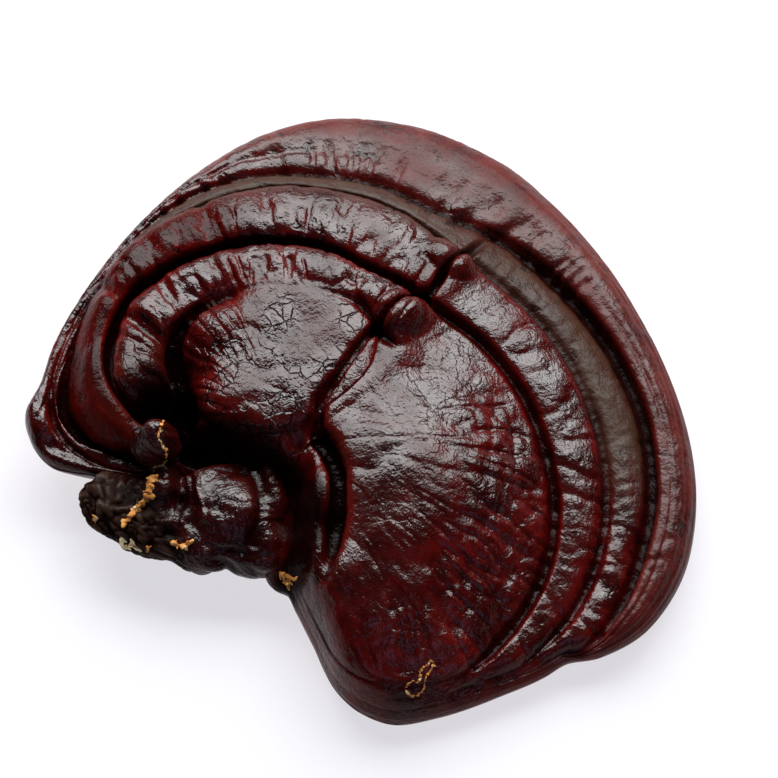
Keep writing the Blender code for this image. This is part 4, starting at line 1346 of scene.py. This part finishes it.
        # level and painted_shade lay painted shade: darker level tops, and dark creases and sunk places
        for share, tint in (
            (base, self.base), (worn, self.worn), (level, self.level), (young, self.new_growth),
            (dust, self.spore_dust), (painted_shade, self.painted_shade), (found["cracks"], self.painted_shade),
        ):
            mix = add(tree, "Mix", {0: share, 6: colour, 7: linear(tint)}, data_type="RGBA")
            colour = mix.outputs[2]
        return colour

    def reflection(self, tree: bpy.types.NodeTree, found: dict) -> bpy.types.Node:
        """Adds how much the lacquer mirrors."""
        shine = add(tree, "MapRange", self.shine.inputs(found))
        for ramp in self.shine_shares:
            share = add(tree, "MapRange", ramp.inputs(found))
            shine = add(tree, "Math", {0: shine, 1: share}, operation="MULTIPLY")
        return shine

    def relief(self, tree: bpy.types.NodeTree, found: dict) -> bpy.types.Node:
        """Adds the heights of cracks, wrinkles, growth lines, pads and roughness, in mm."""
        relief = add(tree, "Math", {0: found["cracks"], 1: -self.crack_depth}, operation="MULTIPLY")
        spacing, length, ring_depth = self.rings
        ringed = add(tree, "VectorMath", {0: found["growth"], 1: (1 / length, 1 / spacing, 0.0)},
                     operation="MULTIPLY")
        (pad, pad_depth), (speck, speck_depth) = self.grain, self.speckle
        for vector, scale, detail, depth, where in (
            (found["along"], 1.0, 2.0, self.crinkle[2], found["crinkle"]),
            (ringed, 1.0, 2.0, ring_depth, found["new_growth"]),
            (found["place"], per_metre(pad), 2.0, pad_depth, 1.0),
            (found["place"], per_metre(speck), 1.0, speck_depth, 1.0),
        ):
            noise = add(tree, "TexNoise", {"Vector": vector, "Scale": scale, "Detail": detail})
            height = add(tree, "Math", {0: noise, 1: depth}, operation="MULTIPLY")
            relief = add(tree, "Math", {0: height, 1: where, 2: relief}, operation="MULTIPLY_ADD")
        return add(tree, "Bump", {"Strength": 1.0, "Distance": MM, "Height": relief})

    def dry_roughness(self, tree: bpy.types.NodeTree, found: dict) -> bpy.types.Node:
        """Adds the roughness, which is higher where the crust is young or dusty."""
        rough = add(tree, "MapRange", self.roughness.inputs(found))
        for kind in ("spore_dust", "new_growth"):
            rough = add(tree, "Math", {0: found[kind], 1: self.dryness, 2: rough},
                        operation="MULTIPLY_ADD")
        return rough

    def material(self) -> bpy.types.Material:
        """Makes the material."""
        material, tree, shader = blank_material(self.name)
        found = self.read_patina(tree)
        # The constant under the linked reflection is what an export without node links keeps.
        fill(tree, shader, {"IOR": self.ior, "Specular IOR Level": self.shine.start})
        fill(tree, shader, {
            "Base Color": self.colour(tree, found),
            "Specular IOR Level": self.reflection(tree, found),
            "Normal": self.relief(tree, found),
            "Roughness": self.dry_roughness(tree, found),
        })
        return material


@dataclass(frozen=True)
class TornFlesh:
    """Dry reishi flesh: corky and matt, cream inside and ochre where it was torn."""

    name: str = "dry torn flesh"
    cream: float = 0.3
    pale: str = "#ead9a6"
    ochre: str = "#c4802f"
    brown: str = "#6b3414"
    grain_mm: float = 1.11111
    pale_from: tuple = (0.62, 0.75)  # values of the grain where the pale share begins and is full
    cream_shift: float = 0.3     # how far full cream lowers them
    brown_share: Ramp = Ramp("grain", 0.42, 0.33)
    roughness: float = 0.7

    def material(self) -> bpy.types.Material:
        """Makes the material."""
        material, tree, shader = blank_material(self.name)
        place = add(tree, "TexCoord", {}).outputs["Object"]
        grain = add(tree, "TexNoise", {"Vector": place, "Scale": per_metre(self.grain_mm),
                                      "Detail": 3.0})
        low, high = (edge - self.cream_shift * self.cream for edge in self.pale_from)
        colour = linear(self.ochre)
        for ramp, tint in ((Ramp("grain", low, high), self.pale), (self.brown_share, self.brown)):
            share = add(tree, "MapRange", ramp.inputs({"grain": grain}))
            mix = add(tree, "Mix", {0: share, 6: colour, 7: linear(tint)}, data_type="RGBA")
            colour = mix.outputs[2]
        fill(tree, shader, {"Base Color": colour, "Roughness": self.roughness})
        return material


@dataclass(frozen=True)
class PoreLayer:
    """Pore side: dry matt tube mouths, cream to tan, too fine to see one by one."""

    name: str = "dry pore layer"
    base: str = "#b08a60"
    bruised: str = "#7b5a3c"
    stain_mm: float = 22.2222
    stain_share: Ramp = Ramp("stains", 0.35, 0.7)
    pore_mm: float = 0.5         # drawn coarser than the four or five a millimetre of real ones
    pore_depth: float = 0.2      # mm
    pore_strength: float = 0.5
    roughness: float = 0.85

    def material(self) -> bpy.types.Material:
        """Makes the material."""
        material, tree, shader = blank_material(self.name)
        place = add(tree, "TexCoord", {}).outputs["Object"]
        stains = add(tree, "TexNoise", {"Vector": place, "Scale": per_metre(self.stain_mm),
                                       "Detail": 5.0})
        share = add(tree, "MapRange", self.stain_share.inputs({"stains": stains}))
        colour = add(tree, "Mix", {0: share, 6: linear(self.base), 7: linear(self.bruised)},
                     data_type="RGBA")
        pores = add(tree, "TexVoronoi", {"Vector": place, "Scale": per_metre(self.pore_mm)})
        bump = add(tree, "Bump", {"Strength": self.pore_strength, "Height": pores,
                                  "Distance": self.pore_depth * MM})
        fill(tree, shader, {"Base Color": colour.outputs[2], "Normal": bump,
                            "Roughness": self.roughness})
        return material


@dataclass(frozen=True)
class Softbox:
    """A soft rectangular light that faces the object."""

    name: str
    azimuth: float               # the direction that it stands in, as the camera's azimuth
    elevation: float             # its angle above the floor
    distance: float              # how far away, in metres
    size: tuple[float, float]    # its width and height, in metres
    radiance: float              # its brightness, where the lit floor is about 1
    colour: str = "#ffffff"

    def hang(self) -> None:
        """Hangs the light where it belongs."""
        data = bpy.data.lights.new(self.name, "AREA")
        data.shape = "RECTANGLE"
        data.size, data.size_y = self.size
        data.energy = self.radiance * math.pi * data.size * data.size_y
        data.color = linear(self.colour)[:3]
        light = link(self.name, data)
        a, e = math.radians(self.azimuth), math.radians(self.elevation)
        towards = Vector((-math.sin(a) * math.cos(e), math.cos(a) * math.cos(e), math.sin(e)))
        light.location = towards * self.distance
        light.rotation_mode = "QUATERNION"
        light.rotation_quaternion = towards.to_track_quat("Z", "Y")


@dataclass
class Studio:
    """The plain studio: a pale lit floor, a large soft light behind and two weaker ones."""

    view: View
    floor_radius: float = 6.0    # metres
    floor_colour: str = "#909091"
    floor_roughness: float = 0.9
    floor_shine: float = 0.1
    floor_glow: str = "#fbf9ff"
    glow: float = 0.7
    surround: str = "#26262a"
    lights: tuple = (
        Softbox("key", 62.0, 46.0, 0.95, (1.1, 0.7), 8.0),
        Softbox("side", 18.0, 48.0, 1.1, (0.5, 0.6), 3.0),
        Softbox("fill", -100.0, 35.0, 1.2, (0.6, 0.6), 0.9, "#c8d0ff"),
    )

    def floor(self) -> None:
        """Lays a wide pale floor just below the object."""
        bm = bmesh.new()
        bmesh.ops.create_circle(bm, cap_ends=True, segments=64, radius=self.floor_radius)
        mesh = mesh_of("floor", bm)
        material, tree, shader = blank_material("opal acrylic table, lit from below")
        fill(tree, shader, {
            "Base Color": linear(self.floor_colour),
            "Roughness": self.floor_roughness,
            "Specular IOR Level": self.floor_shine,
            "Emission Color": linear(self.floor_glow),
            "Emission Strength": self.glow,
        })
        mesh.materials.append(material)
        link("floor", mesh)

    def world(self) -> None:
        """Surrounds the object with a dim room."""
        world = bpy.data.worlds.new("studio")
        world.use_nodes = True
        world.node_tree.nodes["Background"].inputs["Color"].default_value = linear(self.surround)
        bpy.context.scene.world = world

    def build(self) -> None:
        """Sets the studio up."""
        self.view.camera()
        self.floor()
        self.world()
        for light in self.lights:
            light.hang()
        bpy.context.scene.view_settings.view_transform = "Standard"


def main() -> None:
    """Builds the studio and the pieces, and reports each."""
    logging.basicConfig(level=logging.INFO, format="%(name)s: %(message)s")
    view = View()
    Studio(view).build()
    cap, stem = Cap().build(), Stem(view).build()
    surfaces = {"cap_crust": surface_of(cap), "stem_crust": surface_of(stem)}
    tears = [tear.build(view, surfaces[tear.slot]) for tear in TEARS]
    for piece in (cap, stem, *tears):
        log.info("%s: %d faces", piece.name, len(piece.data.polygons))


if __name__ == "__main__":
    main()
